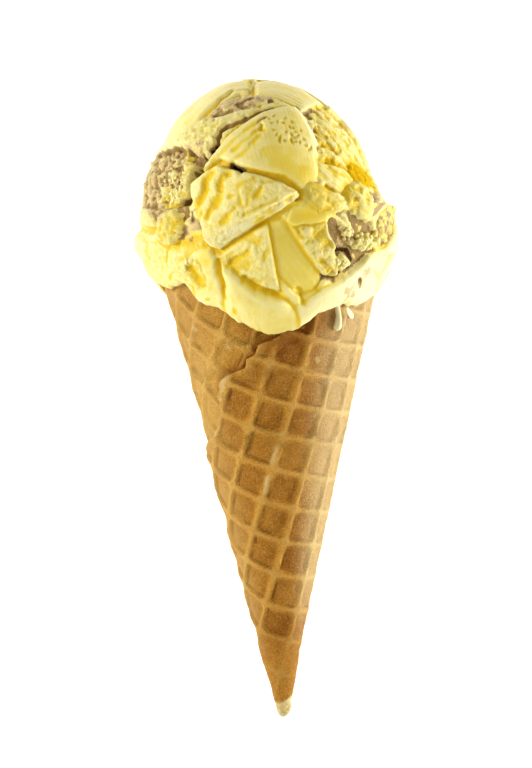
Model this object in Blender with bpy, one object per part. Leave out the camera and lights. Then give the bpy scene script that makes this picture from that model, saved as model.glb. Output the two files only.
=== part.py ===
"""An ice cream waffle cone, lying on its back with its shown side up.

The cone is one round waffle rolled round a point: a spiral whose free edge shows as a step, with
the square pits of the waffle in its outer face. The ice cream fills the cone, passes over its rim
and hangs over it as an uneven skirt, with a scooped, folded ball above.

Both pieces are worked out in the cone's own directions, in millimetres: u to the right, v towards
the viewer and h from the tip along the axis. Azimuths turn round the axis, 0 at the viewer and
90 degrees on the right. place() lays the result on the ground in metres.
"""

import math
from collections import namedtuple

import bmesh
import bpy
import numpy as np
from mathutils import geometry

MM = 0.001

# The rolled cone
HALF_ANGLE = math.radians(13.2)
APEX_BELOW_TIP = 5.5      # the sides would meet this far below the rounded tip
RIM_HEIGHT = 128.0
FLAP_STEP = 1.6           # height of the free edge over the turn below it
EDGE_LIFT = 0.5           # the free edge stands off by this much more
LIFT_WIDTH = math.radians(14)
LINING = 3.0              # from the mean outer face in to the hollow of the cone
HOLLOW_FLOOR = 13.0       # the waffle is closed up solid below this
SHEET_START = 4.0         # where the rolled sheet grows out of the rounded tip
STEP_GROWTH = 16.0        # the step reaches its full height over this length
RIM_SEGMENTS = 48
TIP_SEGMENTS = 16
HOLLOW_HEIGHTS = [100.0, 70.0, 40.0]
CURVE_LINE_AZIMUTHS = range(-200, 160, 20)
CURVE_LINE_HEIGHTS = (6.0, 62.0)

# The waffle's pits, on the flat sheet: measured from the cone's point, x across, y up the middle
GRID_PITCH = 9.5
GRID_TURN = math.radians(-18.3)
GRID_MIDDLE = (2.1, 118.2)
PIT_DEPTH = 0.9
PIT_HALF_WIDTH = 3.5
FLOOR_HALF_WIDTH = 2.8
LOWEST_PIT = 15.0
PIT_SHARE_OF_STEP = 0.55  # near the tip, where the sheet is thin, the pits are this much of the step

# The free edge of the sheet, as azimuth (degrees) and height, from the tip up to the rim
FREE_EDGE = [
    (-214, 4), (-190, 10), (-168, 20), (-152, 30), (-138, 40), (-127, 50), (-116, 60), (-104, 70),
    (-90, 77), (-68, 80), (-57, 81.2), (-49, 83), (-44, 87.4), (-40, 92), (-38, 95.2), (-32, 97.3),
    (-23, 98.8), (-17, 99.6), (-16, 101.8), (-9, 103), (-7, 105.6), (6, 107.8), (16, 115), (35, 128),
]

# The rounded tip: radius at each height
TIP_PROFILE = [(3.0, 2.35), (1.7, 2.2), (0.7, 1.5)]

# The ice cream
SCOOP_HEIGHT = 147.0      # middle of the ball above the tip
GAP = 0.35                # between the ice cream and the waffle
PLUG_FLOOR = 15.5
PLUG_HEIGHTS = [18.0, 40.0, 70.0, 100.0]
CHORD_SLACK = 0.05        # the plug keeps this much further in, clear of the hollow's flat facets
STEP_CLEARANCE = math.radians(16)
EDGE_ROUNDING = math.radians(7)
FOLDS_FADE = math.radians(14)       # the folds fade out over this angle above the skirt's edge
SKIRT_ABOVE = math.radians(95)      # from here down the ice cream covers the cone
LEAST_COVER = 1.2
SURFACE_RADIUS = 35.0     # the radius on which the folds' outlines are laid out
CROWN_REACH = 3.0         # a fold rises to its crown over about this distance from its edge
SLOPE_LIMIT = 1.5
RIDGE_WAVER = 0.9
RIDGE_WAVER_LENGTH = 5.0
SWELL_PITCHES = [17.0, 11.0, 7.5, 6.0]
SWELL_SHARE = 0.016       # height of a swell as a share of its pitch
SWELL_FADE = 1.25         # the swells fade out towards the back that it lies on
TOP_RISE = 0.4
COLUMNS_FRONT = 64
COLUMNS_BACK = 22
ROWS_OUTSIDE = 44
ROW_CROWDING = 1.12       # rows lie closer together near the skirt's edge

# Radius of the scoop from its middle, by the angle down from its top, on each of its four sides
SCOOP_ANGLES = [0, 15, 30, 45, 60, 75, 90, 97, 105, 115, 125, 135, 145]
SCOOP_RADII = {
    "front": [34.8, 35.0, 34.6, 34.8, 35.2, 35.8, 36.6, 37.4, 38.8, 40.2, 41.8, 44.7, 48.5],
    "right": [34.8, 34.3, 32.6, 31.4, 31.1, 30.6, 32.7, 36.3, 38.5, 39.7, 40.0, 43.9, 47.9],
    "back": [34.8, 34.8, 34.6, 34.5, 34.5, 34.8, 35.6, 36.6, 37.8, 38.6, 39.8, 43.2, 47.5],
    "left": [34.8, 35.7, 35.4, 34.9, 34.0, 35.1, 35.5, 36.9, 39.4, 39.2, 39.0, 43.5, 47.9],
}

# Lower edge of the skirt over the cone, as azimuth (degrees) and height
SKIRT_EDGE = [
    (-90, 123.4), (-75, 122.5), (-60, 121.8), (-48, 122.6), (-43, 118.8), (-34, 116.4),
    (-23, 115.2), (-14, 112.8), (-7, 109.8), (8, 109.4), (18, 111.6), (27, 114), (36, 116.3),
    (43, 116.6), (46, 111.6), (49, 115.8), (57, 116.6), (68, 118.8), (80, 121.6), (92, 123.4),
    (112, 119.5), (130, 117), (150, 119.5), (168, 115), (185, 113.5), (205, 118), (225, 116.5),
    (245, 120.5), (258, 122.5),
]

# How the finished piece lies
LEAN = math.radians(14.2)  # the axis rises towards the scoop, which is wider than the tip
CENTRE_U = -0.1
CENTRE_ALONG = 88.7
FLOOR_DROP = 1.40          # puts the flat spots on the tip and the scoop on the ground

# One fold or slab of the scooped surface. Its outline is measured over the surface from the middle
# of the ball's front or back, in mm to the right and up. It covers what comes before it.
Fold = namedtuple("Fold", "name side height crown slope lip ridges outline")
Ridges = namedtuple("Ridges", "pitch depth angle")
Groove = namedtuple("Groove", "name side width depth route")
PLAIN = Ridges(1.0, 0.0, 0.0)

FOLDS = [
    Fold("upper right dome", "front", -1.0, 0.6, (0, 0), 2.4, PLAIN,
         [(-5, 34), (-3, 54), (14, 56), (30, 44), (22, 27), (12, 21.5), (6.5, 26.5), (1.5, 28)]),
    Fold("upper left dome", "front", -1.2, 0.8, (0, 0), 2.6, PLAIN,
         [(-58, 4), (-56, 20), (-42, 38), (-30, 50), (-10, 56), (-3.8, 37), (-8, 31), (-18.5, 25),
          (-27, 16.3), (-34, 15), (-41, 11)]),
    Fold("right brushed fold", "front", -1.0, 0.6, (0, 0), 2.6, Ridges(7.0, 1.1, 52),
         [(12, 27), (25, 40), (36, 36), (48, 25), (56, 10), (52, 0), (33, -2.6), (22, -1.7),
          (16, 0), (14.5, 7), (16, 15)]),
    Fold("left hollow", "front", -2.4, 0.4, (0.03, 0), 2.8, Ridges(8.0, 0.9, 100),
         [(-56, -3), (-53, 11), (-41.5, 17), (-31, 17), (-20.5, 13.6), (-17, 10), (-19, 5),
          (-21.5, 1), (-22, -5.5), (-26.5, -8.5), (-33.5, -10)]),
    Fold("upper band", "front", 1.2, 0.7, (0, 0.02), 2.4, Ridges(7.0, 0.5, 35),
         [(-20.5, 13), (-18, 20.6), (-14, 28), (-7.6, 32.5), (0, 32.5), (7, 28), (8.5, 25.5),
          (2.4, 24.4), (-2.7, 21.8), (-7, 18.5), (-11.6, 14.6), (-15, 12)]),
    Fold("central lobe", "front", 0.4, 1.6, (0.07, -0.02), 2.4, PLAIN,
         [(-19.6, 3.4), (-17.2, 7.7), (-13.2, 11.6), (-7.6, 16.6), (-2.4, 20.3), (3, 23.4),
          (7.8, 24), (11.8, 20.9), (14.2, 14.8), (15.4, 8.5), (13.8, 3.7), (10.6, -0.2),
          (7.4, -2), (2.4, -0.1), (-11, 3.7)]),
    Fold("middle right slab", "front", 0.7, 0.8, (0.03, 0.02), 2.4, Ridges(7.0, 0.6, 40),
         [(4.2, -4.7), (7.5, -1.8), (11.5, 0.9), (16.3, 0.4), (20.2, -2.3), (21.5, -5.1),
          (16.2, -7), (10.5, -8.3), (5, -9)]),
    Fold("right hollow", "front", -3.2, 0.2, (0.02, 0), 2.8, Ridges(7.0, 0.9, 150),
         [(16, -8.5), (21, -6), (28.3, -5.7), (38, -7), (42, -11), (36.5, -16.5), (28, -20),
          (21.5, -22.8), (18.8, -18.7), (17.2, -14)]),
    Fold("rough stroke", "front", 0.5, 0.5, (0, 0), 2.2, Ridges(6.5, 0.6, 35),
         [(7.1, -9.6), (12.6, -8.9), (15.7, -11), (18.3, -15.6), (20.1, -20.9), (17, -23),
          (14.2, -20.7), (10.6, -15.5)]),
    Fold("smooth stroke", "front", -1.0, -0.4, (0, 0), 2.4, PLAIN,
         [(0.5, -8.9), (4, -8.1), (7.1, -10.1), (9.6, -15), (13.1, -20), (15.2, -23.6),
          (11.8, -24.5), (7.2, -24.4), (3.9, -22.1), (2.2, -16.5)]),
    Fold("left skirt", "front", -0.8, 0.8, (0, 0), 2.4, PLAIN,
         [(-56, -12), (-44, -9.5), (-38, -9.9), (-31.7, -12.1), (-25, -14.1), (-20.6, -14.5),
          (-15.9, -15.4), (-13.9, -18.8), (-15.8, -24), (-19.4, -34), (-34, -40), (-50, -34)]),
    Fold("left lump", "front", 1.2, 1.2, (0, 0), 2.4, PLAIN,
         [(-33.5, -7), (-32.5, -4.2), (-28.3, -3.3), (-23.5, -5.2), (-21.1, -8.4), (-21.6, -11.9),
          (-25.7, -13.6), (-30.1, -12)]),
    Fold("lower fold", "front", -0.2, 0.3, (0.02, 0.05), 2.4, PLAIN,
         [(-12.5, -16.6), (-7, -13.4), (-1.5, -11), (0.8, -13.2), (1.9, -17.4), (2.6, -23.6),
          (-1.4, -23), (-6.2, -20.4), (-10.4, -18)]),
    Fold("centre skirt", "front", 1.0, 0.8, (0, 0.02), 2.4, PLAIN,
         [(-15.9, -15.5), (-11.4, -17.8), (-6.2, -20.9), (-1.4, -23.5), (3.4, -24), (5.4, -27),
          (8, -40), (-4, -44), (-16, -38), (-20, -27)]),
    Fold("pitted lump", "front", 1.6, 0.6, (0, 0), 2.4, PLAIN,
         [(-22.6, -15.6), (-19.3, -13.9), (-15.3, -14.9), (-13.9, -18.8), (-15.8, -23.4),
          (-19.4, -24.8), (-22.7, -21.7)]),
    Fold("right lip", "front", -0.4, 1.0, (-0.02, 0.02), 2.4, PLAIN,
         [(6.1, -26.4), (10.2, -24.4), (15.2, -23.6), (21.5, -22.6), (28, -19.6), (35, -16.4),
          (46, -12), (60, -16), (58, -34), (36, -42), (20, -42), (9, -40)]),
    Fold("front leaf", "front", 2.8, 0.9, (0.05, 0.03), 2.2, Ridges(6.8, 1.3, -24),
         [(-21.5, 3.3), (-17.8, 6.1), (-14.2, 7.4), (-10.2, 5.8), (-6.6, 4.6), (-1.1, 3.3),
          (4, 1.4), (8.3, -1), (5.2, -4.5), (0.5, -7.5), (-5.7, -10.6), (-12.3, -13.4),
          (-14.4, -12.2), (-16.7, -7.5), (-20.2, -2.7)]),
    Fold("back roll", "back", 0.6, 1.2, (0, 0.02), 2.8, Ridges(8.0, 0.6, 62),
         [(-30, 6), (-22, 24), (-4, 33), (17, 28), (29, 12), (22, 3), (4, 9), (-14, 2)]),
    Fold("back slab", "back", 0.8, 1.0, (0.03, 0), 2.8, Ridges(8.0, 0.6, -28),
         [(-34, -2), (-16, 4), (-2, -2), (6, -12), (-8, -19), (-30, -15)]),
    Fold("back stroke", "back", -0.9, 0.4, (0, 0), 2.2, PLAIN,
         [(10, 4), (26, 2), (36, -8), (26, -17), (10, -13), (4, -5)]),
]

GROOVES = [
    Groove("crease under the band", "front", 1.3, 3.2,
           [(-17.5, 10.5), (-13, 13.2), (-8, 17.2), (-2.5, 20.8), (2.6, 23.9)]),
    Groove("hole behind the lobe", "front", 1.5, 2.2, [(-17, 8.6), (-15.2, 10.6)]),
    Groove("slit above the leaf", "front", 1.0, 2.0, [(-9.6, 6.4), (-6.4, 4.9)]),
    Groove("cut below the lower fold", "front", 1.1, 1.9,
           [(-11.8, -16.9), (-6.4, -20.2), (-1.2, -22.8), (2.8, -23.7)]),
    Groove("edge of the smooth stroke", "front", 0.9, 1.1,
           [(1.2, -9.5), (2.4, -16.5), (4.2, -22.4), (7.2, -24.8)]),
    Groove("notch in the skirt", "front", 1.3, 1.8, [(6.6, -25), (6.4, -28)]),
    Groove("notch between the domes", "front", 1.6, 1.6, [(-4.3, 34), (-4.6, 46)]),
    Groove("slot in the right hollow", "front", 1.2, 1.8, [(29.5, -7.4), (26, -15.5)]),
    Groove("hole in the pitted lump", "front", 1.7, 2.6, [(-18.2, -18.4), (-17.6, -20)]),
    Groove("crease across the back", "back", 1.5, 1.6,
           [(-32, 1), (-15, 4.6), (1, 0), (8, -12.5)]),
]

CONE_TAN = math.tan(HALF_ANGLE)
TURN_ON_SHEET = 2 * math.pi * math.sin(HALF_ANGLE)


def smooth(value):
    """0 below 0, 1 above 1 and a smooth rise between."""
    value = np.clip(value, 0.0, 1.0)
    return value * value * (3.0 - 2.0 * value)


def place(u, v, h):
    """Points in metres of the cone's own directions laid on the ground, flattened where they meet it."""
    x = u - CENTRE_U
    y = h * math.cos(LEAN) - v * math.sin(LEAN) - CENTRE_ALONG
    z = h * math.sin(LEAN) + v * math.cos(LEAN) + FLOOR_DROP
    return np.stack([x, y, np.maximum(z, 0.0)], axis=-1) * MM


def around(azimuth, radius, height):
    """Points at an azimuth (radians), a radius from the axis and a height along it."""
    return place(radius * np.sin(azimuth), radius * np.cos(azimuth), height)


def link_object(name, mesh_data, collection, material):
    piece = bpy.data.objects.new(name, mesh_data)
    mesh_data.materials.append(material)
    collection.objects.link(piece)
    return piece


def solid_mesh(name, points, faces):
    """A closed mesh with its faces outwards, its coincident points merged."""
    made = bmesh.new()
    corners = [made.verts.new(point) for point in points]
    for face in faces:
        if len(set(face)) == len(face):
            made.faces.new([corners[index] for index in face])
    bmesh.ops.remove_doubles(made, verts=made.verts, dist=1e-7)
    bmesh.ops.recalc_face_normals(made, faces=made.faces)
    data = bpy.data.meshes.new(name)
    made.to_mesh(data)
    made.free()
    data.shade_smooth()
    data.set_sharp_from_angle(angle=math.radians(40))
    return data


def zip_chains(first, second, first_keys, second_keys):
    """Triangles between two chains of points, both in the order of their rising keys."""
    faces = []
    i = j = 0
    while i < len(first) - 1 or j < len(second) - 1:
        second_done = j == len(second) - 1
        if second_done or (i < len(first) - 1 and first_keys[i + 1] <= second_keys[j + 1]):
            faces.append((first[i], first[i + 1], second[j]))
            i += 1
        else:
            faces.append((first[i], second[j + 1], second[j]))
            j += 1
    return faces


# ---- The waffle cone ----


def free_edge_azimuth(height):
    """Azimuth (radians) of the sheet's free edge at a height."""
    azimuths, heights = zip(*FREE_EDGE)
    return np.radians(np.interp(height, heights, azimuths))


def step_at(height):
    """Height of the step at the free edge, which grows out of the tip."""
    return FLAP_STEP * smooth((np.asarray(height) - SHEET_START) / STEP_GROWTH)


def sheet_offset(turned, height):
    """How far the rolled face stands off the mean cone, falling evenly over the turn from the edge."""
    lift = EDGE_LIFT / FLAP_STEP * (1.0 - smooth(turned / LIFT_WIDTH))
    return step_at(height) * (0.5 - turned / (2 * math.pi) + lift)


def to_sheet(azimuth, height):
    """Where a point of the cone lies on the flat sheet."""
    slant = (height + APEX_BELOW_TIP) / math.cos(HALF_ANGLE)
    angle = azimuth * math.sin(HALF_ANGLE)
    return slant * np.sin(angle), slant * np.cos(angle)


def from_sheet(x, y):
    """Azimuth (radians, not wrapped) and height of a point of the flat sheet."""
    height = np.hypot(x, y) * math.cos(HALF_ANGLE) - APEX_BELOW_TIP
    return np.arctan2(x, y) / math.sin(HALF_ANGLE), height


def pit_depth(x, y, height):
    """Depth of the waffle's relief below its ribs at points of the flat sheet."""
    across = (x - GRID_MIDDLE[0]) * math.cos(GRID_TURN) + (y - GRID_MIDDLE[1]) * math.sin(GRID_TURN)
    along = (y - GRID_MIDDLE[1]) * math.cos(GRID_TURN) - (x - GRID_MIDDLE[0]) * math.sin(GRID_TURN)
    from_middle_x = np.abs(across % GRID_PITCH - GRID_PITCH / 2)
    from_middle_y = np.abs(along % GRID_PITCH - GRID_PITCH / 2)
    from_middle = np.maximum(from_middle_x, from_middle_y)
    wall = np.clip((PIT_HALF_WIDTH - from_middle) / (PIT_HALF_WIDTH - FLOOR_HALF_WIDTH), 0.0, 1.0)
    deepest = np.minimum(PIT_DEPTH, PIT_SHARE_OF_STEP * step_at(height))
    return np.where(height > LOWEST_PIT - GRID_PITCH / 2, wall * deepest, 0.0)


def sheet_outline():
    """The full turn that shows, on the flat sheet: free edge, rim, the same edge a turn on, tip."""
    azimuths = np.radians([azimuth for azimuth, _ in FREE_EDGE])
    heights = np.array([height for _, height in FREE_EDGE], float)
    full = 2 * math.pi
    rim = np.linspace(azimuths[-1], azimuths[-1] + full, RIM_SEGMENTS + 1)[1:-1]
    tip = np.linspace(azimuths[0] + full, azimuths[0], TIP_SEGMENTS + 1)[1:-1]
    azimuth = np.concatenate([azimuths, rim, azimuths[::-1] + full, tip])
    height = np.concatenate([
        heights, np.full(len(rim), RIM_HEIGHT), heights[::-1], np.full(len(tip), SHEET_START)])
    return np.stack(to_sheet(azimuth, height), axis=-1)


def pit_squares():
    """Corners of the rim and the floor of each pit whose middle is on the sheet that shows."""
    squares = []
    reach = int(RIM_HEIGHT * 2 / GRID_PITCH)
    turn = np.array([[math.cos(GRID_TURN), -math.sin(GRID_TURN)],
                     [math.sin(GRID_TURN), math.cos(GRID_TURN)]])
    for column in range(-reach, reach):
        for row in range(-reach, reach):
            middle = turn @ (np.array([column + 0.5, row + 0.5]) * GRID_PITCH) + GRID_MIDDLE
            azimuth, height = from_sheet(*middle)
            past_edge = azimuth - free_edge_azimuth(height)
            margin = GRID_PITCH / (2 * max(np.hypot(*middle), 1.0) * math.sin(HALF_ANGLE))
            if not LOWEST_PIT < height < RIM_HEIGHT or not -margin < past_edge < 2 * math.pi + margin:
                continue
            for half in (PIT_HALF_WIDTH, FLOOR_HALF_WIDTH):
                corners = np.array([(-half, -half), (half, -half), (half, half), (-half, half)])
                squares.append(corners @ turn.T + middle)
    return squares


def curve_lines():
    """Lines up the narrow part of the sheet, so that its facets follow the tight curve there."""
    lines = []
    for azimuth in np.radians(CURVE_LINE_AZIMUTHS):
        lines.append(np.array([to_sheet(azimuth, height) for height in CURVE_LINE_HEIGHTS]))
    return lines


def outer_face():
    """Points (sheet x, y) and triangles of the sheet that shows, cut along the pits' edges."""
    outline = sheet_outline()
    points = [tuple(point) for point in outline]
    edges = []
    for corners in pit_squares():
        start = len(points)
        points += [tuple(corner) for corner in corners]
        edges += [(start + k, start + (k + 1) % 4) for k in range(4)]
    for line in curve_lines():
        start = len(points)
        points += [tuple(end) for end in line]
        edges.append((start, start + 1))
    whole_turn = [list(range(len(outline)))[::-1]]
    made = geometry.delaunay_2d_cdt(points, edges, whole_turn, 0, 0.01, True)
    triangles = [tuple(face) for face, origin in zip(made[2], made[5]) if origin]
    return np.array([tuple(point) for point in made[0]]), triangles


def boundary_loop(triangles):
    """The outline of a triangulated sheet, as each boundary point's next one, anticlockwise."""
    directed = {(face[k], face[(k + 1) % 3]) for face in triangles for k in range(3)}
    return {start: end for start, end in directed if (end, start) not in directed}


def boundary_chain(following, start, end):
    chain = [start]
    while chain[-1] != end:
        chain.append(following[chain[-1]])
    return chain


def build_waffle_cone():
    sheet, faces = outer_face()
    azimuth, height = from_sheet(sheet[:, 0], sheet[:, 1])
    turned = np.clip(azimuth - free_edge_azimuth(height), 0.0, 2 * math.pi)

    following = boundary_loop(faces)
    on_boundary = np.array(sorted(following))
    full = 2 * math.pi
    corners = []
    for corner_azimuth, corner_height in (
            (math.radians(FREE_EDGE[0][0]), SHEET_START),
            (math.radians(FREE_EDGE[0][0]) + full, SHEET_START),
            (math.radians(FREE_EDGE[-1][0]) + full, RIM_HEIGHT),
            (math.radians(FREE_EDGE[-1][0]), RIM_HEIGHT)):
        corner = np.array(to_sheet(corner_azimuth, corner_height))
        away = np.hypot(*(sheet[on_boundary] - corner).T)
        corners.append(int(on_boundary[away.argmin()]))
    tip_chain = boundary_chain(following, corners[0], corners[1])
    under_chain = boundary_chain(following, corners[1], corners[2])
    rim_chain = boundary_chain(following, corners[2], corners[3])[::-1]
    edge_chain = boundary_chain(following, corners[3], corners[0])[::-1]
    turned[edge_chain] = 0.0
    turned[under_chain] = full

    relief = pit_depth(sheet[:, 0], sheet[:, 1], height)
    radius = CONE_TAN * (height + APEX_BELOW_TIP) + sheet_offset(turned, height) - relief
    points = list(around(azimuth, radius, height))

    # The step from the free edge down to the turn below it
    faces += zip_chains(edge_chain, under_chain, height[edge_chain], height[under_chain])

    # The hollow, from the rim down to its floor
    start_azimuth = azimuth[rim_chain[0]]
    spokes = start_azimuth + np.arange(RIM_SEGMENTS) * full / RIM_SEGMENTS
    rings = []
    for ring_height in [RIM_HEIGHT, *HOLLOW_HEIGHTS, HOLLOW_FLOOR + 1.0]:
        ring_radius = CONE_TAN * (ring_height + APEX_BELOW_TIP) - LINING
        rings.append([len(points) + k for k in range(RIM_SEGMENTS)])
        points += list(around(spokes, ring_radius, ring_height))
    for upper, lower in zip(rings, rings[1:]):
        for k in range(RIM_SEGMENTS):
            after = (k + 1) % RIM_SEGMENTS
            faces.append((upper[k], upper[after], lower[after], lower[k]))
    points.append(around(0.0, 0.0, HOLLOW_FLOOR))
    faces += [(rings[-1][k], rings[-1][(k + 1) % RIM_SEGMENTS], len(points) - 1)
              for k in range(RIM_SEGMENTS)]
    inner_rim = rings[0] + [rings[0][0]]
    inner_keys = np.append(spokes, start_azimuth + full)
    faces += zip_chains(inner_rim, rim_chain, inner_keys, azimuth[rim_chain])
    faces.append((rings[0][0], rim_chain[-1], rim_chain[0]))

    # The rounded tip
    ring = tip_chain[:-1]
    for tip_height, tip_radius in TIP_PROFILE:
        lower = [len(points) + k for k in range(len(ring))]
        points += list(around(azimuth[tip_chain[:-1]], tip_radius, tip_height))
        for k in range(len(ring)):
            after = (k + 1) % len(ring)
            faces.append((ring[k], ring[after], lower[after], lower[k]))
        ring = lower
    points.append(around(0.0, 0.0, 0.0))
    faces += [(ring[k], ring[(k + 1) % len(ring)], len(points) - 1) for k in range(len(ring))]
    return solid_mesh("waffle_cone", points, faces)


# ---- The ice cream ----


def scoop_radius(angle, azimuth):
    """Radius of the plain scoop, blended round the axis between its four sides."""
    sides = ["front", "right", "back", "left", "front"]
    degrees = np.degrees(angle)
    radii = np.stack([np.interp(degrees, SCOOP_ANGLES, SCOOP_RADII[side]) for side in sides])
    quarter = (azimuth / (math.pi / 2)) % 4
    first = np.minimum(quarter.astype(int), 3)
    share = smooth(quarter - first)
    column = np.arange(len(azimuth))
    return radii[first, column] * (1 - share) + radii[first + 1, column] * share


def skirt_edge_height(azimuth):
    """Height of the skirt's lower edge, round the whole turn."""
    azimuths, heights = (np.array(column, float) for column in zip(*SKIRT_EDGE))
    return np.interp(np.degrees(azimuth) % 360, azimuths % 360, heights, period=360)


def clearance(azimuth, height):
    """How far the ice cream's inner face keeps off the mean cone, clear of the rolled sheet."""
    past_edge = (azimuth - free_edge_azimuth(height)) % (2 * math.pi)
    before_edge = 2 * math.pi - past_edge
    near = smooth(1.0 - before_edge / STEP_CLEARANCE)
    offset = sheet_offset(past_edge, height)
    return GAP + np.maximum(offset, near * (FLAP_STEP / 2 + EDGE_LIFT))


def surface_map(direction, side):
    """Distances over the ball to the right and up, from the middle of its front or back."""
    facing = direction[:, 1] if side == "front" else -direction[:, 1]
    across = direction[:, 0] if side == "front" else -direction[:, 0]
    angle = np.arccos(np.clip(facing, -1.0, 1.0))
    length = np.maximum(np.hypot(across, direction[:, 2]), 1e-9)
    scale = SURFACE_RADIUS * angle / length
    return np.stack([across * scale, direction[:, 2] * scale], axis=-1)


def distance_to_route(where, route):
    """Distance of points to a run of straight pieces."""
    nearest = np.full(len(where), np.inf)
    for start, end in zip(route, route[1:]):
        along = np.subtract(end, start)
        offset = where - start
        share = np.clip(offset @ along / (along @ along), 0.0, 1.0)
        nearest = np.minimum(nearest, np.hypot(*(offset - share[:, None] * along).T))
    return nearest


def depth_inside(where, outline):
    """Distance of points to a closed outline, positive inside it."""
    inside = np.zeros(len(where), bool)
    for start, end in zip(outline, outline[1:] + outline[:1]):
        crosses = (start[1] > where[:, 1]) != (end[1] > where[:, 1])
        rise = end[1] - start[1]
        if rise == 0:
            continue
        at = start[0] + (where[:, 1] - start[1]) * (end[0] - start[0]) / rise
        inside ^= crosses & (where[:, 0] < at)
    distance = distance_to_route(where, outline + outline[:1])
    return np.where(inside, distance, -distance)


def fold_height(fold, where, inside):
    """Height of a fold's own surface: crowned in the middle, sloped, and ridged across an angle."""
    middle = np.mean(fold.outline, axis=0)
    offset = where - middle
    crown = fold.crown * (1.0 - np.exp(-np.maximum(inside, 0.0) / CROWN_REACH))
    slope = np.clip(offset @ np.array(fold.slope), -SLOPE_LIMIT, SLOPE_LIMIT)
    turn = math.radians(fold.ridges.angle)
    across = offset @ np.array([math.cos(turn), math.sin(turn)])
    along = offset @ np.array([-math.sin(turn), math.cos(turn)])
    waver = RIDGE_WAVER * np.sin(along / RIDGE_WAVER_LENGTH)
    wave = np.cos(2 * math.pi * across / fold.ridges.pitch + waver)
    return fold.height + crown + slope - fold.ridges.depth * (0.5 + 0.5 * wave)


def unevenness(direction):
    """Low swells of a soft surface, from a few waves in different directions."""
    total = np.zeros(len(direction))
    for k, pitch in enumerate(SWELL_PITCHES):
        axis = np.array([math.sin(2.4 * k + 0.4), math.cos(1.9 * k), math.sin(1.3 * k + 1.1)])
        axis /= np.linalg.norm(axis)
        turns = direction @ axis * SURFACE_RADIUS / pitch
        total += pitch * SWELL_SHARE * np.sin(2 * math.pi * turns + k)
    return total


def relief(direction):
    """Height of the folded surface over the plain scoop: each fold covers the ones before it."""
    maps = {side: surface_map(direction, side) for side in ("front", "back")}
    height = np.zeros(len(direction))
    for fold in FOLDS:
        inside = depth_inside(maps[fold.side], fold.outline)
        cover = smooth(inside / fold.lip + 0.5)
        height += (fold_height(fold, maps[fold.side], inside) - height) * cover
    for groove in GROOVES:
        away = distance_to_route(maps[groove.side], groove.route)
        height -= groove.depth * np.exp(-(away / groove.width) ** 2)
    return height + unevenness(direction) * smooth(SWELL_FADE + direction[:, 1])


def build_ice_cream():
    front = np.linspace(-math.pi / 2, math.pi / 2, COLUMNS_FRONT, endpoint=False)
    back = np.linspace(math.pi / 2, 3 * math.pi / 2, COLUMNS_BACK, endpoint=False)
    azimuth = np.concatenate([front, back])
    columns = len(azimuth)

    # Up the plug, over the rim and down outside the cone to the edge of the skirt
    rows = []
    over_rim = RIM_HEIGHT + GAP
    for height in [*PLUG_HEIGHTS, over_rim]:
        radius = CONE_TAN * (height + APEX_BELOW_TIP) - LINING - GAP - CHORD_SLACK
        rows.append(around(azimuth, radius, height))
    edge_height = skirt_edge_height(azimuth)
    for share in (0.0, 0.35, 0.7, 1.0):
        height = over_rim + (edge_height - over_rim) * share
        edge_gap = clearance(azimuth, np.minimum(height, RIM_HEIGHT))
        edge_radius = CONE_TAN * (height + APEX_BELOW_TIP) + edge_gap
        rows.append(around(azimuth, edge_radius, height))

    # The outside, from the edge of the skirt up to the top of the ball. The cone's own face, seen
    # from the ball's middle, only counts near the skirt: higher up its distance is held finite.
    edge_angle = np.arctan2(edge_radius, edge_height - SCOOP_HEIGHT)
    for share in np.linspace(0.0, 1.0, ROWS_OUTSIDE + 1)[1:-1]:
        angle = edge_angle * (1.0 - share ** ROW_CROWDING)
        direction = np.stack([np.sin(angle) * np.sin(azimuth),
                              np.sin(angle) * np.cos(azimuth), np.cos(angle)], axis=-1)
        reach = CONE_TAN * (SCOOP_HEIGHT + APEX_BELOW_TIP) + edge_gap
        on_cone = reach / np.maximum(np.sin(angle) - CONE_TAN * np.cos(angle), 0.3)
        from_edge = np.clip((edge_angle - angle) / EDGE_ROUNDING, 0.0, 1.0)
        rounding = np.sqrt(1.0 - (1.0 - from_edge) ** 2)
        settled = smooth((edge_angle - angle) / FOLDS_FADE)
        outer = scoop_radius(angle, azimuth) + relief(direction) * settled
        outer = np.where(angle > SKIRT_ABOVE, np.maximum(outer, on_cone + LEAST_COVER), outer)
        radius = on_cone + (outer - on_cone) * rounding
        ball = direction * radius[:, None]
        rows.append(place(ball[:, 0], ball[:, 1], SCOOP_HEIGHT + ball[:, 2]))

    points = [tuple(point) for row in rows for point in row]
    bottom, top = len(points), len(points) + 1
    points.append(tuple(around(0.0, 0.0, PLUG_FLOOR)))
    top_radius = float(scoop_radius(np.zeros(1), np.zeros(1))[0])
    points.append(tuple(place(0.0, 0.0, SCOOP_HEIGHT + top_radius + TOP_RISE)))
    faces = []
    for row in range(len(rows) - 1):
        for k in range(columns):
            after = (k + 1) % columns
            below, above = row * columns, (row + 1) * columns
            faces.append((below + k, below + after, above + after))
            faces.append((below + k, above + after, above + k))
    last = (len(rows) - 1) * columns
    for k in range(columns):
        after = (k + 1) % columns
        faces.append((after, k, bottom))
        faces.append((last + k, last + after, top))
    return solid_mesh("ice_cream", points, faces)


def food_material(name, colour, roughness):
    made = bpy.data.materials.new(name)
    made.use_nodes = True
    surface = made.node_tree.nodes["Principled BSDF"]
    surface.inputs["Base Color"].default_value = (*colour, 1.0)
    surface.inputs["Roughness"].default_value = roughness
    surface.inputs["Metallic"].default_value = 0.0
    return made


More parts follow.
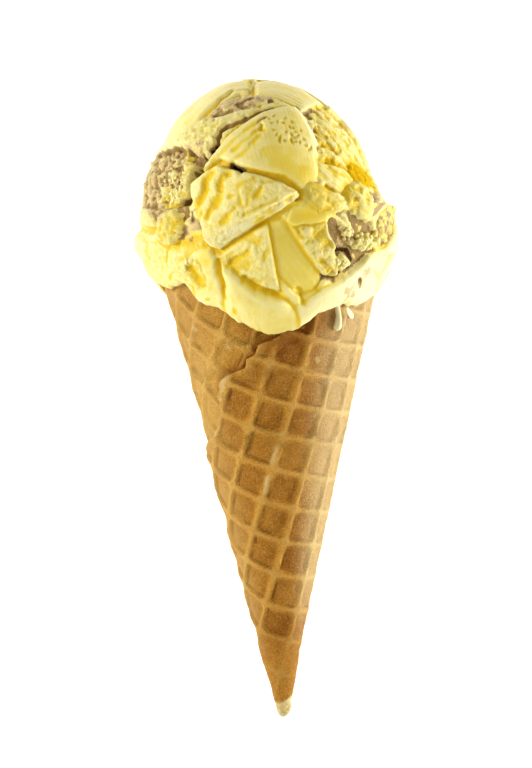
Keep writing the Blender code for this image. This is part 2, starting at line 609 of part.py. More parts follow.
def main():
    for old in list(bpy.data.objects):
        bpy.data.objects.remove(old, do_unlink=True)
    scene = bpy.context.scene
    scene.unit_settings.system = "METRIC"
    parts = bpy.data.collections.new("ice cream waffle cone")
    scene.collection.children.link(parts)
    waffle = food_material("baked waffle", (0.42, 0.22, 0.075), 0.75)
    cream = food_material("yellow ice cream", (0.88, 0.78, 0.32), 0.45)
    link_object("waffle_cone", build_waffle_cone(), parts, waffle)
    link_object("ice_cream", build_ice_cream(), parts, cream)


main()
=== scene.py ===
# An ice cream waffle cone lying on its back: a waffle rolled round a point, filled and topped
# with a folded scoop of yellow ice cream rippled with tan.
import math

import bpy
import numpy as np
from mathutils import Matrix, Vector


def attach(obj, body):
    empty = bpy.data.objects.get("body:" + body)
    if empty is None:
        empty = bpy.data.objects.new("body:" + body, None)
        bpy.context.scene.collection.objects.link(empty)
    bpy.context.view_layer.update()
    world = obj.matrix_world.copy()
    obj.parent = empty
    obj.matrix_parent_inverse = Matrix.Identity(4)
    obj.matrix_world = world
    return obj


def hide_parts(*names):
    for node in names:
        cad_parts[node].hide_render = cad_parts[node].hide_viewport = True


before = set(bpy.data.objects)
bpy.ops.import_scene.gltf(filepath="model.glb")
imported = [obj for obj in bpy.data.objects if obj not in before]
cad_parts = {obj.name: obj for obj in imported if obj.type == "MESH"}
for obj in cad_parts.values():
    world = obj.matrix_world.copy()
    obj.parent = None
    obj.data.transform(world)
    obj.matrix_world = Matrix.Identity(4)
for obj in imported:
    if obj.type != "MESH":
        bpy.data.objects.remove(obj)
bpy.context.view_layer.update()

mm = 0.001

# The cone's own directions, in millimetres: u to the right, v towards the viewer, h from the tip
# along the axis. Azimuths turn round the axis, 0 at the viewer and 90 degrees on the right.
lying = {
    "lean": math.radians(14.2),  # the axis rises towards the scoop
    "middleU": -0.1,
    "middleAlong": 88.7,
    "drop": 1.40,
}


def placeFree(u, v, h):
    # the axis turned up by the lean and dropped towards the ground
    u, v, h = np.broadcast_arrays(np.asarray(u, float), v, h)
    lean = lying["lean"]
    x = u - lying["middleU"]
    y = h * math.cos(lean) - v * math.sin(lean) - lying["middleAlong"]
    z = h * math.sin(lean) + v * math.cos(lean) + lying["drop"]
    return np.stack([x, y, z], axis=-1) * mm


def place(u, v, h):
    # the same, flattened where it meets the ground
    points = placeFree(u, v, h)
    points[..., 2] = np.maximum(points[..., 2], 0.0)
    return points


def around(azimuth, radius, height):
    return place(radius * np.sin(azimuth), radius * np.cos(azimuth), height)


def threes(*columns):
    # points from three columns, or grids, of numbers
    return np.stack(np.broadcast_arrays(*columns), axis=-1)


def smooth(value):
    # 0 below 0, 1 above 1 and a smooth rise between
    value = np.clip(value, 0.0, 1.0)
    return value * value * (3.0 - 2.0 * value)


# Noise on points in millimetres

def cornerValue(x, y, z, salt):
    # a number from -1 to 1 for each corner of a cubic lattice, from its mixed whole coordinates
    mixed = (x * 73856093) ^ (y * 19349663) ^ (z * 83492791) ^ (salt * 40503 + 977)
    mixed = ((mixed ^ (mixed >> 13)) & 0x7fffffff) * 1274126177 & 0x7fffffff
    mixed = (mixed ^ (mixed >> 15)) * 2246822 & 0x7fffffff
    return ((mixed >> 7) & 0xffff) / 32767.5 - 1.0


def noise(points, pitch, salt=0):
    # corner values of a lattice of that pitch, blended along each side by a smooth quintic
    scaled = points / pitch
    whole = np.floor(scaled)
    part = scaled - whole
    whole = whole.astype(np.int64)
    blend = part ** 3 * (part * (part * 6 - 15) + 10)
    total = 0.0
    for dx in (0, 1):
        for dy in (0, 1):
            for dz in (0, 1):
                share = 1.0
                for axis, far in enumerate((dx, dy, dz)):
                    share = share * (blend[..., axis] if far else 1 - blend[..., axis])
                total = total + share * cornerValue(
                    whole[..., 0] + dx, whole[..., 1] + dy, whole[..., 2] + dz, salt)
    return total


def fractal(points, pitch, octaves, salt=0):
    # noise of that pitch and finer, each octave half as high and half as wide
    return sum(noise(points, pitch / 2 ** k, salt + k) / 2 ** k for k in range(octaves))


def lumps(points, pitch, salt=0):
    # rounded lumps packed side by side: 1 at each scattered middle, 0 in the clefts between them
    scaled = points / pitch
    whole = np.floor(scaled).astype(np.int64)
    nearest = np.full(points.shape[:-1], 9.0)
    second = nearest.copy()
    for dx in (-1, 0, 1):
        for dy in (-1, 0, 1):
            for dz in (-1, 0, 1):
                corner = whole + (dx, dy, dz)
                away = 0.0
                for axis in range(3):
                    jitter = cornerValue(corner[..., 0], corner[..., 1], corner[..., 2],
                                         salt + 11 * axis)
                    middle = corner[..., axis] + 0.5 + 0.42 * jitter
                    away = away + (middle - scaled[..., axis]) ** 2
                second = np.minimum(second, np.maximum(nearest, away))
                nearest = np.minimum(nearest, away)
    return np.clip(np.sqrt(second) - np.sqrt(nearest), 0.0, 1.0)


def evened(values, angles, spread):
    # a profile through corner values at given angles (degrees), its corners rounded by averaging
    fine = np.arange(angles[0] - spread, angles[-1] + spread + 1)
    table = np.interp(fine, angles, values)
    kernel = np.ones(2 * spread + 1) / (2 * spread + 1)
    kernel = np.convolve(kernel, kernel, "same")
    padded = np.pad(table, spread, mode="edge")
    return fine, np.convolve(padded, kernel / kernel.sum(), "valid")


# Meshes and nodes

def bandMesh(name, points, firstPole, lastPole, values=None):
    # one closed skin or many: points[piece, row, column] ringed across the columns, with a fan to
    # a pole at each end of the rows
    pieces, rows, columns = points.shape[:3]
    ring = pieces * rows * columns
    everything = np.concatenate([points.reshape(-1, 3), firstPole, lastPole])
    index = np.arange(ring).reshape(pieces, rows, columns)
    after = np.roll(index, -1, axis=2)
    quads = np.stack([index[:, :-1], after[:, :-1], after[:, 1:], index[:, 1:]], -1).reshape(-1, 4)
    poles = ring + np.arange(pieces)[:, None] + np.zeros(columns, int)
    low = np.stack([after[:, 0], index[:, 0], poles], -1).reshape(-1, 3)
    high = np.stack([index[:, -1], after[:, -1], poles + pieces], -1).reshape(-1, 3)
    sizes = np.concatenate([np.full(len(quads), 4), np.full(len(low) + len(high), 3)])
    corners = np.concatenate([quads.ravel(), low.ravel(), high.ravel()])
    mesh = bpy.data.meshes.new(name)
    mesh.vertices.add(len(everything))
    mesh.vertices.foreach_set("co", everything.astype(np.float32).ravel())
    mesh.loops.add(len(corners))
    mesh.loops.foreach_set("vertex_index", corners.astype(np.int32))
    mesh.polygons.add(len(sizes))
    starts = np.concatenate([[0], np.cumsum(sizes)[:-1]])
    mesh.polygons.foreach_set("loop_start", starts.astype(np.int32))
    mesh.update(calc_edges=True)
    mesh.validate()
    mesh.shade_smooth()
    for label, value in (values or {}).items():
        atPoles = value[:, 0].mean(axis=-1), value[:, -1].mean(axis=-1)
        spread = np.concatenate([value.ravel(), *atPoles])
        layer = mesh.attributes.new(label, "FLOAT", "POINT")
        layer.data.foreach_set("value", spread.astype(np.float32))
    piece = bpy.data.objects.new(name, mesh)
    bpy.context.scene.collection.objects.link(piece)
    return piece


def finishPiece(piece, node, material):
    piece.data.materials.append(material)
    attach(piece, "root")
    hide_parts(node)
    print(piece.name, len(piece.data.polygons), "faces")


def newMaterial(name):
    # a material, its node tree, its shader and the place on the piece that its grain follows
    material = bpy.data.materials.new(name)
    material.use_nodes = True
    tree = material.node_tree
    where = addNode(tree, "ShaderNodeTexCoord").outputs["Object"]
    return material, tree, tree.nodes["Principled BSDF"], where


def addNode(tree, kind, settings=None, **inputs):
    # a node of that kind; each input, by name or as n and its number, is a value or an output
    made = tree.nodes.new(kind)
    for key, value in (settings or {}).items():
        setattr(made, key, value)
    for key, value in inputs.items():
        connect(tree, value, made.inputs[int(key[1:]) if key[1:].isdigit() else key])
    return made


def connect(tree, value, socket):
    if isinstance(value, bpy.types.NodeSocket):
        tree.links.new(value, socket)
    else:
        socket.default_value = (*value, 1.0) if socket.type == "RGBA" else value


def joined(operation, first, second, clamp=False):
    made = addNode(first.id_data, "ShaderNodeMath", {"operation": operation, "use_clamp": clamp},
                   n0=first, n1=second)
    return made.outputs[0]


def plus(first, second, clamp=False):
    return joined("ADD", first, second, clamp)


def times(first, second):
    return joined("MULTIPLY", first, second)


def about(value, size):
    # a value around a half, turned to one around 0 of that size
    return times(joined("SUBTRACT", value, 0.5), size)


def mixColour(share, first, second, blend="MIX"):
    made = addNode(share.id_data, "ShaderNodeMix", {"data_type": "RGBA", "blend_type": blend},
                   n0=share, n6=first, n7=second)
    return made.outputs[2]


def rangeOf(value, low, high, lowTo=0.0, highTo=1.0):
    # a smooth step from one number to another
    made = addNode(value.id_data, "ShaderNodeMapRange", {"interpolation_type": "SMOOTHSTEP"},
                   n0=value, n1=low, n2=high, n3=lowTo, n4=highTo)
    return made.outputs[0]


def grain(where, pitch, detail=3.0, roughness=0.55):
    made = addNode(where.id_data, "ShaderNodeTexNoise", Vector=where, Scale=1000.0 / pitch,
                   Detail=detail, Roughness=roughness)
    return made.outputs[0]


def attribute(tree, label):
    return addNode(tree, "ShaderNodeAttribute", {"attribute_name": label}).outputs["Fac"]


def bumped(tree, shader, height, strength, distance):
    bump = addNode(tree, "ShaderNodeBump", Height=height, Strength=strength, Distance=distance)
    tree.links.new(bump.outputs[0], shader.inputs["Normal"])


# The waffle, a round sheet rolled round a point

roll = {
    "halfAngle": math.radians(13.2),
    "apexBelow": 5.5,   # the sides would meet this far below the rounded tip
    "rim": 128.0,
    "step": 1.6,        # the free edge over the turn below it
    "lift": 0.35,       # and this much more right at the edge
    "liftWidth": math.radians(14),
    "lining": 3.0,      # from the mean outer face in to the hollow
    "hollowFloor": 13.0,
    "hollowHeights": (128.0, 112.0, 80.0, 40.0, 14.0),
    "sheetStart": 4.0,  # where the sheet grows out of the blunt tip
    "stepGrowth": 16.0,
    "tipRadius": 2.3,
    "edge": [           # the free edge: azimuth and height
        (-214, 4), (-190, 10), (-168, 20), (-152, 30), (-138, 40), (-127, 50), (-116, 60),
        (-104, 70), (-90, 77), (-68, 80), (-57, 81.2), (-49, 83), (-44, 87.4), (-40, 92),
        (-38, 95.2), (-32, 97.3), (-23, 98.8), (-17, 99.6), (-16, 101.8), (-9, 103),
        (-7, 105.6), (6, 107.8), (16, 115), (35, 128)],
    "edgeWaver": 0.7,
    "edgeRounding": 0.45,
    "bite": 0.5,        # how far the broken face of the edge is bitten back
    "swells": [(0.11, 5.0), (0.08, 1.7), (0.05, 0.9)],   # of the baked face: height and pitch
    "columns": 340,
    "crowding": 0.9,    # of the columns towards the free edge
    "faceColumns": 6,   # up the broken face of the edge
    "tipRows": 13,
    "rows": 261,
}

pits = {
    "pitch": 9.5,
    "turn": math.radians(-18.3),
    "middle": (2.1, 118.2),
    "wander": 0.45,     # how far the grid strays from its lines, and over what length
    "wanderPitch": 14.0,
    "depth": 1.35,
    "unlike": 0.15,     # share of the depth by which one pit differs from the next
    "half": 4.75,       # from the middle of a pit to the top of its rounded edge
    "wall": 1.9,
    "lowest": 14.0,
    "growth": 16.0,     # from there up the pits reach their full depth over this
    "shareOfStep": 0.75,
    "crease": 0.30,     # a crease where the floor meets the rib, its dark colour painted shade: depth, place and half width
    "creaseAt": 1.15,
    "creaseWidth": 0.32,
    "swell": 0.32,      # floors puff up a little in the middle
}

# Pale streaks on the ribs and crumbs of batter: half width in mm, azimuth and height of a route
glazeMarks = [
    (0.55, [(1.6, 77.3), (-1.8, 75.1), (-2.9, 73.2)]),
    (0.6, [(-7.0, 69.0), (-9.1, 67.4), (-10.6, 65.1)]),
    (0.4, [(37.2, 95.3), (41.4, 93.6)]),
    (0.4, [(32.6, 86.0), (35.2, 83.8)]),
    (0.6, [(29.9, 101.3), (30.5, 100.9)]),
    (0.5, [(-55.0, 112.9), (-53.2, 110.7)]),
    (0.4, [(-31.9, 106.1), (-28.5, 105.0)]),
    (0.9, [(-32.6, 97.0), (-35.4, 94.6)]),
    (0.4, [(-36.6, 93.4), (-38.2, 91.0)]),
    (0.6, [(-50.2, 83.0), (-53.0, 81.2)]),
]

coneTan = math.tan(roll["halfAngle"])
fullTurn = 2 * math.pi


def coneRadius(height):
    return coneTan * (height + roll["apexBelow"])


def freeEdge(height):
    azimuths, heights = zip(*roll["edge"])
    return np.radians(np.interp(height, heights, azimuths))


def stepAt(height):
    return roll["step"] * smooth((height - roll["sheetStart"]) / roll["stepGrowth"])


def sheetOffset(turned, height):
    # the rolled face stands off the mean cone by half a step at its free edge and falls evenly
    # over the turn to half a step below it
    lifted = roll["lift"] * (1.0 - 2.3 * smooth((90 - height) / 9))
    lift = lifted / roll["step"] * (1.0 - smooth(turned / roll["liftWidth"]))
    return stepAt(height) * (0.5 - turned / fullTurn + lift)


def onSheet(azimuth, height):
    slant = (height + roll["apexBelow"]) / math.cos(roll["halfAngle"])
    angle = azimuth * math.sin(roll["halfAngle"])
    return slant * np.sin(angle), slant * np.cos(angle)


def pitRelief(x, y, height):
    # square pits on a turned grid: full depth inside a rounded square, rising over the wall to
    # the ribs; also how far a point is into its pit and a number for each pit
    sheet = threes(x, y, 0)
    fromX = x + pits["wander"] * noise(sheet, pits["wanderPitch"], 5) - pits["middle"][0]
    fromY = y + pits["wander"] * noise(sheet, pits["wanderPitch"], 6) - pits["middle"][1]
    cosine, sine = math.cos(pits["turn"]), math.sin(pits["turn"])
    across = (fromX * cosine + fromY * sine) / pits["pitch"]
    along = (fromY * cosine - fromX * sine) / pits["pitch"]
    number = cornerValue(np.floor(across).astype(int), np.floor(along).astype(int), 0, 3)
    across, along = across % 1, along % 1
    fromMiddle = (np.abs(across - 0.5) ** 5 + np.abs(along - 0.5) ** 5) ** 0.2 * pits["pitch"]
    grown = smooth((height - pits["lowest"]) / pits["growth"])
    into = smooth((pits["half"] - fromMiddle) / pits["wall"]) * grown
    swell = pits["swell"] * (1 - (fromMiddle / pits["half"]) ** 2)
    deepest = pits["depth"] * (1 + pits["unlike"] * number)
    deepest = np.minimum(deepest, pits["shareOfStep"] * stepAt(height))
    # the crease runs along the side of the tip and the left side, real relief whose dark colour is
    # painted shade
    crease = 0.0
    for local, other in ((along, across), (across, along)):
        beside = np.exp(-((local * pits["pitch"] - pits["creaseAt"]) / pits["creaseWidth"]) ** 2)
        crease = np.maximum(crease, beside * smooth((0.40 - np.abs(other - 0.5)) / 0.06))
    crease = crease * smooth(0.7 + noise(sheet, 4.0, 33)) * grown
    # a painted highlight along the top of each rib
    crestHighlight = smooth((fromMiddle - pits["half"] + 0.55) / 0.5)
    relief = into * (deepest - swell * deepest) + pits["crease"] * crease
    return relief, into, number, crestHighlight, crease


def glazeAt(azimuth, height):
    # how near a point is to a pale streak: 1 on its route, fading over its half width
    nearest = np.zeros(height.shape)
    for width, route in glazeMarks:
        turns, heights = np.array(route).T
        middle = turns.mean()
        turned = (azimuth - math.radians(middle) + math.pi) % fullTurn - math.pi
        flat = threes(height, coneRadius(height) * turned, 0)
        lined = np.stack([heights, coneRadius(heights) * np.radians(turns - middle)], axis=-1)
        away = fromRoute(flat[..., :2], lined)
        nearest = np.maximum(nearest, smooth(1.4 - (away + 0.35 * noise(flat, 0.9, 61)) / width))
    return nearest


def waffleGrid():
    # rows by height and columns by how far the sheet has turned from its free edge, with a few
    # columns that climb the broken face of that edge
    tip = roll["sheetStart"] * (1 - np.cos(np.linspace(0, math.pi / 2, roll["tipRows"] + 1)[1:]))
    sheet = np.linspace(roll["sheetStart"], roll["rim"], roll["rows"] + 1)[1:]
    share = np.linspace(0, 1, roll["columns"])
    turned = fullTurn * (share - 0.5 * np.sin(fullTurn * share) / fullTurn * roll["crowding"])
    face = np.linspace(0, 1, roll["faceColumns"] + 2)[1:-1]
    turned = np.concatenate([turned, np.full(len(face), fullTurn)])
    climb = np.concatenate([np.zeros(roll["columns"]), face])
    return np.broadcast_arrays(np.concatenate([tip, sheet])[:, None], turned, climb)


# Where the waffle is darker or paler, heights and reaches in mm
shades = {
    "edgeReach": 2.6,      # of the free edge's shade, over the turn below
    "edgeFrom": 86,
    "edgeGrowth": 10,
    "skirtShare": 0.95,    # the skirt's shade is deepest at its middle azimuth
    "skirtReach": 10,
    "skirtFade": 9,
    "skirtMiddle": math.radians(12),
    "skirtWidth": math.radians(30),
    "lowDarkShare": 0.4,     # the waffle is darker below this height
    "lowDarkBelow": 36,
    "lowDarkFade": 14,
    "tipEnd": 5.5,         # and pale at its very end, up to a slanting line
    "tipSlant": 1.6,
    "tipTurn": 0.9,
    "tipFade": 0.8,
    "paleFrom": 8,         # painted light on the sides: share, azimuths of start and end in degrees with widths, growth
    "paintedLightRight": (0.7, (16, 36, 150, 30), 40),
    "paintedLightLeft": (0.5, (220, 30, 340, 50), 20),
}


def shadeAt(azimuth, height, fromEdge):
    # painted shadow: the turn below lies in the shade of the free edge and the cone in that of the
    # skirt; the waffle is also darker towards the tip
    under = np.exp(-(fromEdge / shades["edgeReach"]) ** 2)
    under = under * smooth((height - shades["edgeFrom"]) / shades["edgeGrowth"])
    fromMiddle = (azimuth + math.pi) % fullTurn - math.pi - shades["skirtMiddle"]
    belowSkirt = height - skirtEdge(azimuth.ravel()).reshape(height.shape)
    underSkirt = smooth((belowSkirt + shades["skirtReach"]) / shades["skirtFade"])
    underSkirt = shades["skirtShare"] * underSkirt
    underSkirt = underSkirt * np.exp(-(fromMiddle / shades["skirtWidth"]) ** 2)
    brown = shades["lowDarkShare"] * smooth((shades["lowDarkBelow"] - height) / shades["lowDarkFade"])
    return np.maximum(np.maximum(under, underSkirt), brown)


def paintedLightAt(side, degrees, height):
    # painted light on a side of the cone: rises after its first azimuth and falls before its last
    share, (start, startWidth, end, endWidth), growth = shades[side]
    rise = smooth((degrees - start) / startWidth) * smooth((end - degrees) / endWidth)
    return share * rise * smooth((height - shades["paleFrom"]) / growth)


def waffleSurface():
    # the rolled sheet less its pits, its wavering free edge broken, on a blunt tip; then over the
    # rim and down the hollow
    height, turned, climb = waffleGrid()
    heights, onFace = height[:, 0], climb > 0
    radiusAt = coneRadius(heights)
    edgeLine = threes(heights, 0, 0)
    waver = roll["edgeWaver"] * (fractal(edgeLine, 4.0, 3, 21) + 0.5 * noise(edgeLine, 9.0, 22))
    edge = freeEdge(heights) + waver * smooth((heights - 12) / 10) / radiusAt
    azimuth = edge[:, None] + turned

    x, y = onSheet(azimuth, height)
    relief, into, number, crestHighlight, crease = pitRelief(x, y, height)
    # pits are shallow along the free edge, over and under it
    route = np.arange(70.0, 127.0, 2.0)
    sheet = np.stack([x, y], axis=-1)
    overlying = np.stack(onSheet(freeEdge(route), route), axis=-1)
    below = np.stack(onSheet(freeEdge(route) + fullTurn, route), axis=-1)
    margin = smooth((fromRoute(sheet, overlying) - 0.6) / 3.2)
    relief, into = relief * (0.2 + 0.8 * margin), into * (0.4 + 0.6 * margin)
    shade = shadeAt(azimuth, height, np.where(onFace, 99.0, fromRoute(sheet, below)))
    top = coneRadius(height) + sheetOffset(turned, height) - relief
    # the broken face climbs from the turn below to the sheet's own top, bitten back in the middle
    under = top[:, roll["columns"] - 1:roll["columns"]]
    edgeTop = top[:, :1] - roll["edgeRounding"] * smooth(stepAt(height))
    rounded = (roll["edgeRounding"] * np.exp(-turned * radiusAt[:, None] / 0.7)
               * smooth(stepAt(height)))
    radius = np.where(onFace, under + (edgeTop - under) * climb, top - rounded * (turned < 1))
    ragged = 0.25 * noise(threes(x, y, climb * 3), 0.9, 31)
    bite = (roll["bite"] * np.sin(math.pi * climb) + ragged) * onFace
    azimuth = azimuth + bite * smooth((height - 12) / 10) / radiusAt[:, None]
    for salt, (size, pitch) in enumerate(roll["swells"], 41):
        radius = radius + size * noise(threes(x, y, 0), pitch, salt)
    up = height / roll["sheetStart"]
    uneven = 1 + 0.12 * noise(threes(azimuth % fullTurn * 1.5, height, 0), 1.7, 51)
    blunt = roll["tipRadius"] * np.sqrt(np.clip(1 - (1 - up) ** 2, 0, 1)) * uneven
    radius = np.where(up < 1, blunt + (radius - roll["tipRadius"]) * up ** 3, radius)

    degrees = np.degrees(azimuth) % 360
    slant = shades["tipSlant"] * np.sin(azimuth - shades["tipTurn"])
    broken = np.where(onFace, 1.0, np.exp(-turned * radiusAt[:, None] / 0.9))
    # painted highlight on the rib crests, painted shade in the creases and in the shade, painted
    # light on the right and left sides
    values = {
        "pit": into, "pitNumber": number, "crestHighlight": crestHighlight, "crease": crease, "shade": shade,
        "broken": broken * smooth((height - 30) / 30),
        "lower": smooth(1.6 - (fullTurn - turned) / math.radians(50)) * (climb == 0),
        "tipEnd": 1.0 - smooth((height - shades["tipEnd"] - slant) / shades["tipFade"]),
        "paintedLightRight": paintedLightAt("paintedLightRight", degrees, height),
        "paintedLightLeft": paintedLightAt("paintedLightLeft", degrees, height),
        "glaze": glazeAt(azimuth, height)}
    inner = [around(azimuth[-1], coneRadius(innerHeight) - roll["lining"], innerHeight)
             for innerHeight in roll["hollowHeights"]]
    points = np.concatenate([around(azimuth, radius, height), np.stack(inner)])
    blank = np.zeros((len(inner), height.shape[1]))
    values = {label: np.concatenate([value, blank])[None] for label, value in values.items()}
    return bandMesh("rolled_waffle", points[None], place(0, 0, 0)[None],
                    place(0, 0, roll["hollowFloor"])[None], values)


waffleTones = {
    "ribs": (0.79, 0.425, 0.080),
    "pits": (0.42, 0.165, 0.018),
    "lowerRibs": (0.86, 0.52, 0.125),    # of the turn below, which lies paler
    "lowerPits": (0.68, 0.365, 0.065),
    "flecks": (0.78, 0.66, 0.47),
    "paleFlecks": (0.68, 0.42, 0.13),
    # painted highlight along the rib crests
    "crestHighlight": (0.82, 0.52, 0.15),
    # painted shade in the crease on the tip side and left side of each pit
    "crease": (0.14, 0.045, 0.004),
    # painted light on the right and left sides
    "paintedLightRight": (0.70, 0.54, 0.31),
    "paintedLightLeft": (0.80, 0.53, 0.18),
    "shade": (0.60, 0.46, 0.28),
    "broken": (0.70, 0.43, 0.12),
    "glaze": (0.84, 0.66, 0.32),
    "tip": (0.88, 0.66, 0.28),
    "paleTip": (0.98, 0.90, 0.54),
}


def waffleMaterial():
    # ribs paler than the pits, every pit baked a little differently, fine open crumb over all
    material, tree, shader, where = newMaterial("baked waffle")
    pit = attribute(tree, "pit")
    speckle = grain(where, 0.5, 3.0, 0.7)
    mottle = grain(where, 3.2, 4.0, 0.6)
    baked = plus(times(pit, 0.62), about(mottle, 0.9))
    baked = plus(baked, about(grain(where, 14.0, 2.0), 0.9))
    baked = plus(baked, times(times(attribute(tree, "pitNumber"), 0.12), pit), True)
    top = mixColour(baked, waffleTones["ribs"], waffleTones["pits"])
    below = mixColour(baked, waffleTones["lowerRibs"], waffleTones["lowerPits"])
    colour = mixColour(attribute(tree, "lower"), top, below)
    # painted highlight on the rib crests, patchy
    highlightOnCrest = times(attribute(tree, "crestHighlight"), rangeOf(mottle, 0.3, 0.6, 0.1, 0.7))
    flaked = times(attribute(tree, "broken"), rangeOf(grain(where, 2.6), 0.30, 0.50))
    for tone, share, blend in (
            ("flecks", rangeOf(speckle, 0.45, 0.58, 0.0, 0.9), "MULTIPLY"),
            ("paleFlecks", rangeOf(grain(where, 0.8, 3.0, 0.8), 0.52, 0.64, 0.0, 0.7), "MIX"),
            # painted highlight on the crests, painted shade in the creases and in the shade,
            # painted light on the sides
            ("crestHighlight", highlightOnCrest, "MIX"),
            ("crease", times(attribute(tree, "crease"), 0.6), "MIX"),
            ("paintedLightRight", attribute(tree, "paintedLightRight"), "SCREEN"),
            ("paintedLightLeft", attribute(tree, "paintedLightLeft"), "MIX"),
            ("shade", attribute(tree, "shade"), "MULTIPLY"),
            ("broken", flaked, "MIX"),
            ("glaze", times(attribute(tree, "glaze"), 0.65), "MIX")):
        colour = mixColour(share, colour, waffleTones[tone], blend)
    tip = mixColour(rangeOf(mottle, 0.4, 0.6), waffleTones["tip"], waffleTones["paleTip"])
    colour = mixColour(attribute(tree, "tipEnd"), colour, tip)
    tree.links.new(colour, shader.inputs["Base Color"])
    tree.links.new(rangeOf(mottle, 0.3, 0.7, 0.55, 0.75), shader.inputs["Roughness"])
    openCrumb = plus(times(speckle, 0.7), times(grain(where, 0.32, 2.0, 0.6), 0.4))
    bumped(tree, shader, openCrumb, 1.0, 0.0014)
    shader.inputs["Specular IOR Level"].default_value = 0.15
    return material


# The ice cream: a plain scoop, then its folds laid over each other

scoop = {
    "middle": 147.0,       # height of the ball's middle above the tip
    "gap": 0.35,
    "edgeMargin": math.radians(16),      # kept clear ahead of the waffle's free edge
    "plugFloor": 15.5,
    "plugHeights": (18.0, 40.0, 80.0),
    "plugSlack": 0.05,     # the plug keeps this much further in, clear of the hollow's flat faces
    "edgeRounding": math.radians(4.5),
    "foldsFade": math.radians(12),
    "skirtAbove": math.radians(95),
    "leastCover": 1.0,
    "mapRadius": 35.0,     # the radius on which the folds' outlines are laid out
    "frontColumns": 340,   # over the shown side, closest together at its middle
    "backColumns": 64,
    "outsideRows": 234,
    "overhang": (0.0, 0.35, 0.7, 1.0),   # rows under the skirt, as shares of the way down
    "crownReach": 3.0,     # a fold rises to its crown over about this distance from its edge
    "flankPaintedLight": -1.1,     # painted light: a fold's flank is this much less yellow
    "dentPaintedShade": 0.5,       # and its dents are this much more yellow, as painted shade
    # painted shade in the grooves under the folds' edges and in the pores
    "groovePaintedShade": 0.7,
    "angles": [0, 15, 30, 45, 60, 75, 90, 97, 105, 115, 125, 135, 145],
    "front": [34.8, 35.0, 34.6, 34.8, 35.2, 35.8, 36.6, 37.4, 38.8, 40.2, 41.8, 44.7, 48.5],
    "right": [34.8, 34.3, 32.6, 31.4, 31.1, 30.6, 32.7, 36.3, 38.5, 39.7, 40.0, 43.9, 47.9],
    "back": [34.8, 34.8, 34.6, 34.5, 34.5, 34.8, 35.6, 36.6, 37.8, 38.6, 39.8, 43.2, 47.5],
    "left": [34.8, 35.7, 35.4, 34.9, 34.0, 35.1, 35.5, 36.9, 39.4, 39.2, 39.0, 43.5, 47.9],
    "skirt": [             # lower edge over the cone: azimuth and height
        (-90, 125), (-76, 124.3), (-62, 123.1), (-53, 123.2), (-47, 124.4), (-43.5, 123.0),
        (-40, 119.2), (-34, 117.2), (-28, 116.6), (-23, 114.8), (-19.5, 112.9), (-14, 112.2),
        (-10, 110.6), (-5, 109.2), (0, 108.2), (7, 109.4), (13, 109.6), (18, 111.0),
        (27, 113.8), (36, 115.2), (40, 116.6), (49, 115.8), (57, 116.6), (68, 118.8), (80, 121.6),
        (92, 123.4), (112, 119.5), (130, 117), (150, 119.5), (168, 115), (185, 113.5),
        (205, 118), (225, 116.5), (245, 120.5), (258, 122.5)],
}


def fold(name, height, outline, slope=(0, 0), crown=0.5, lip=0.9, bend=None, flank=None,
         ridges=None, brush=None, dents=None, rough=0.15, ragged=0.4, under=None, tan=0.0,
         paintedShading=0.0, side="front", sunk=False):
    return dict(name=name, height=height, outline=outline, slope=slope, crown=crown, lip=lip,
                bend=bend, flank=flank, ridges=ridges, brush=brush, dents=dents, rough=rough,
                ragged=ragged, under=under, tan=tan, paintedShading=paintedShading, side=side, sunk=sunk)
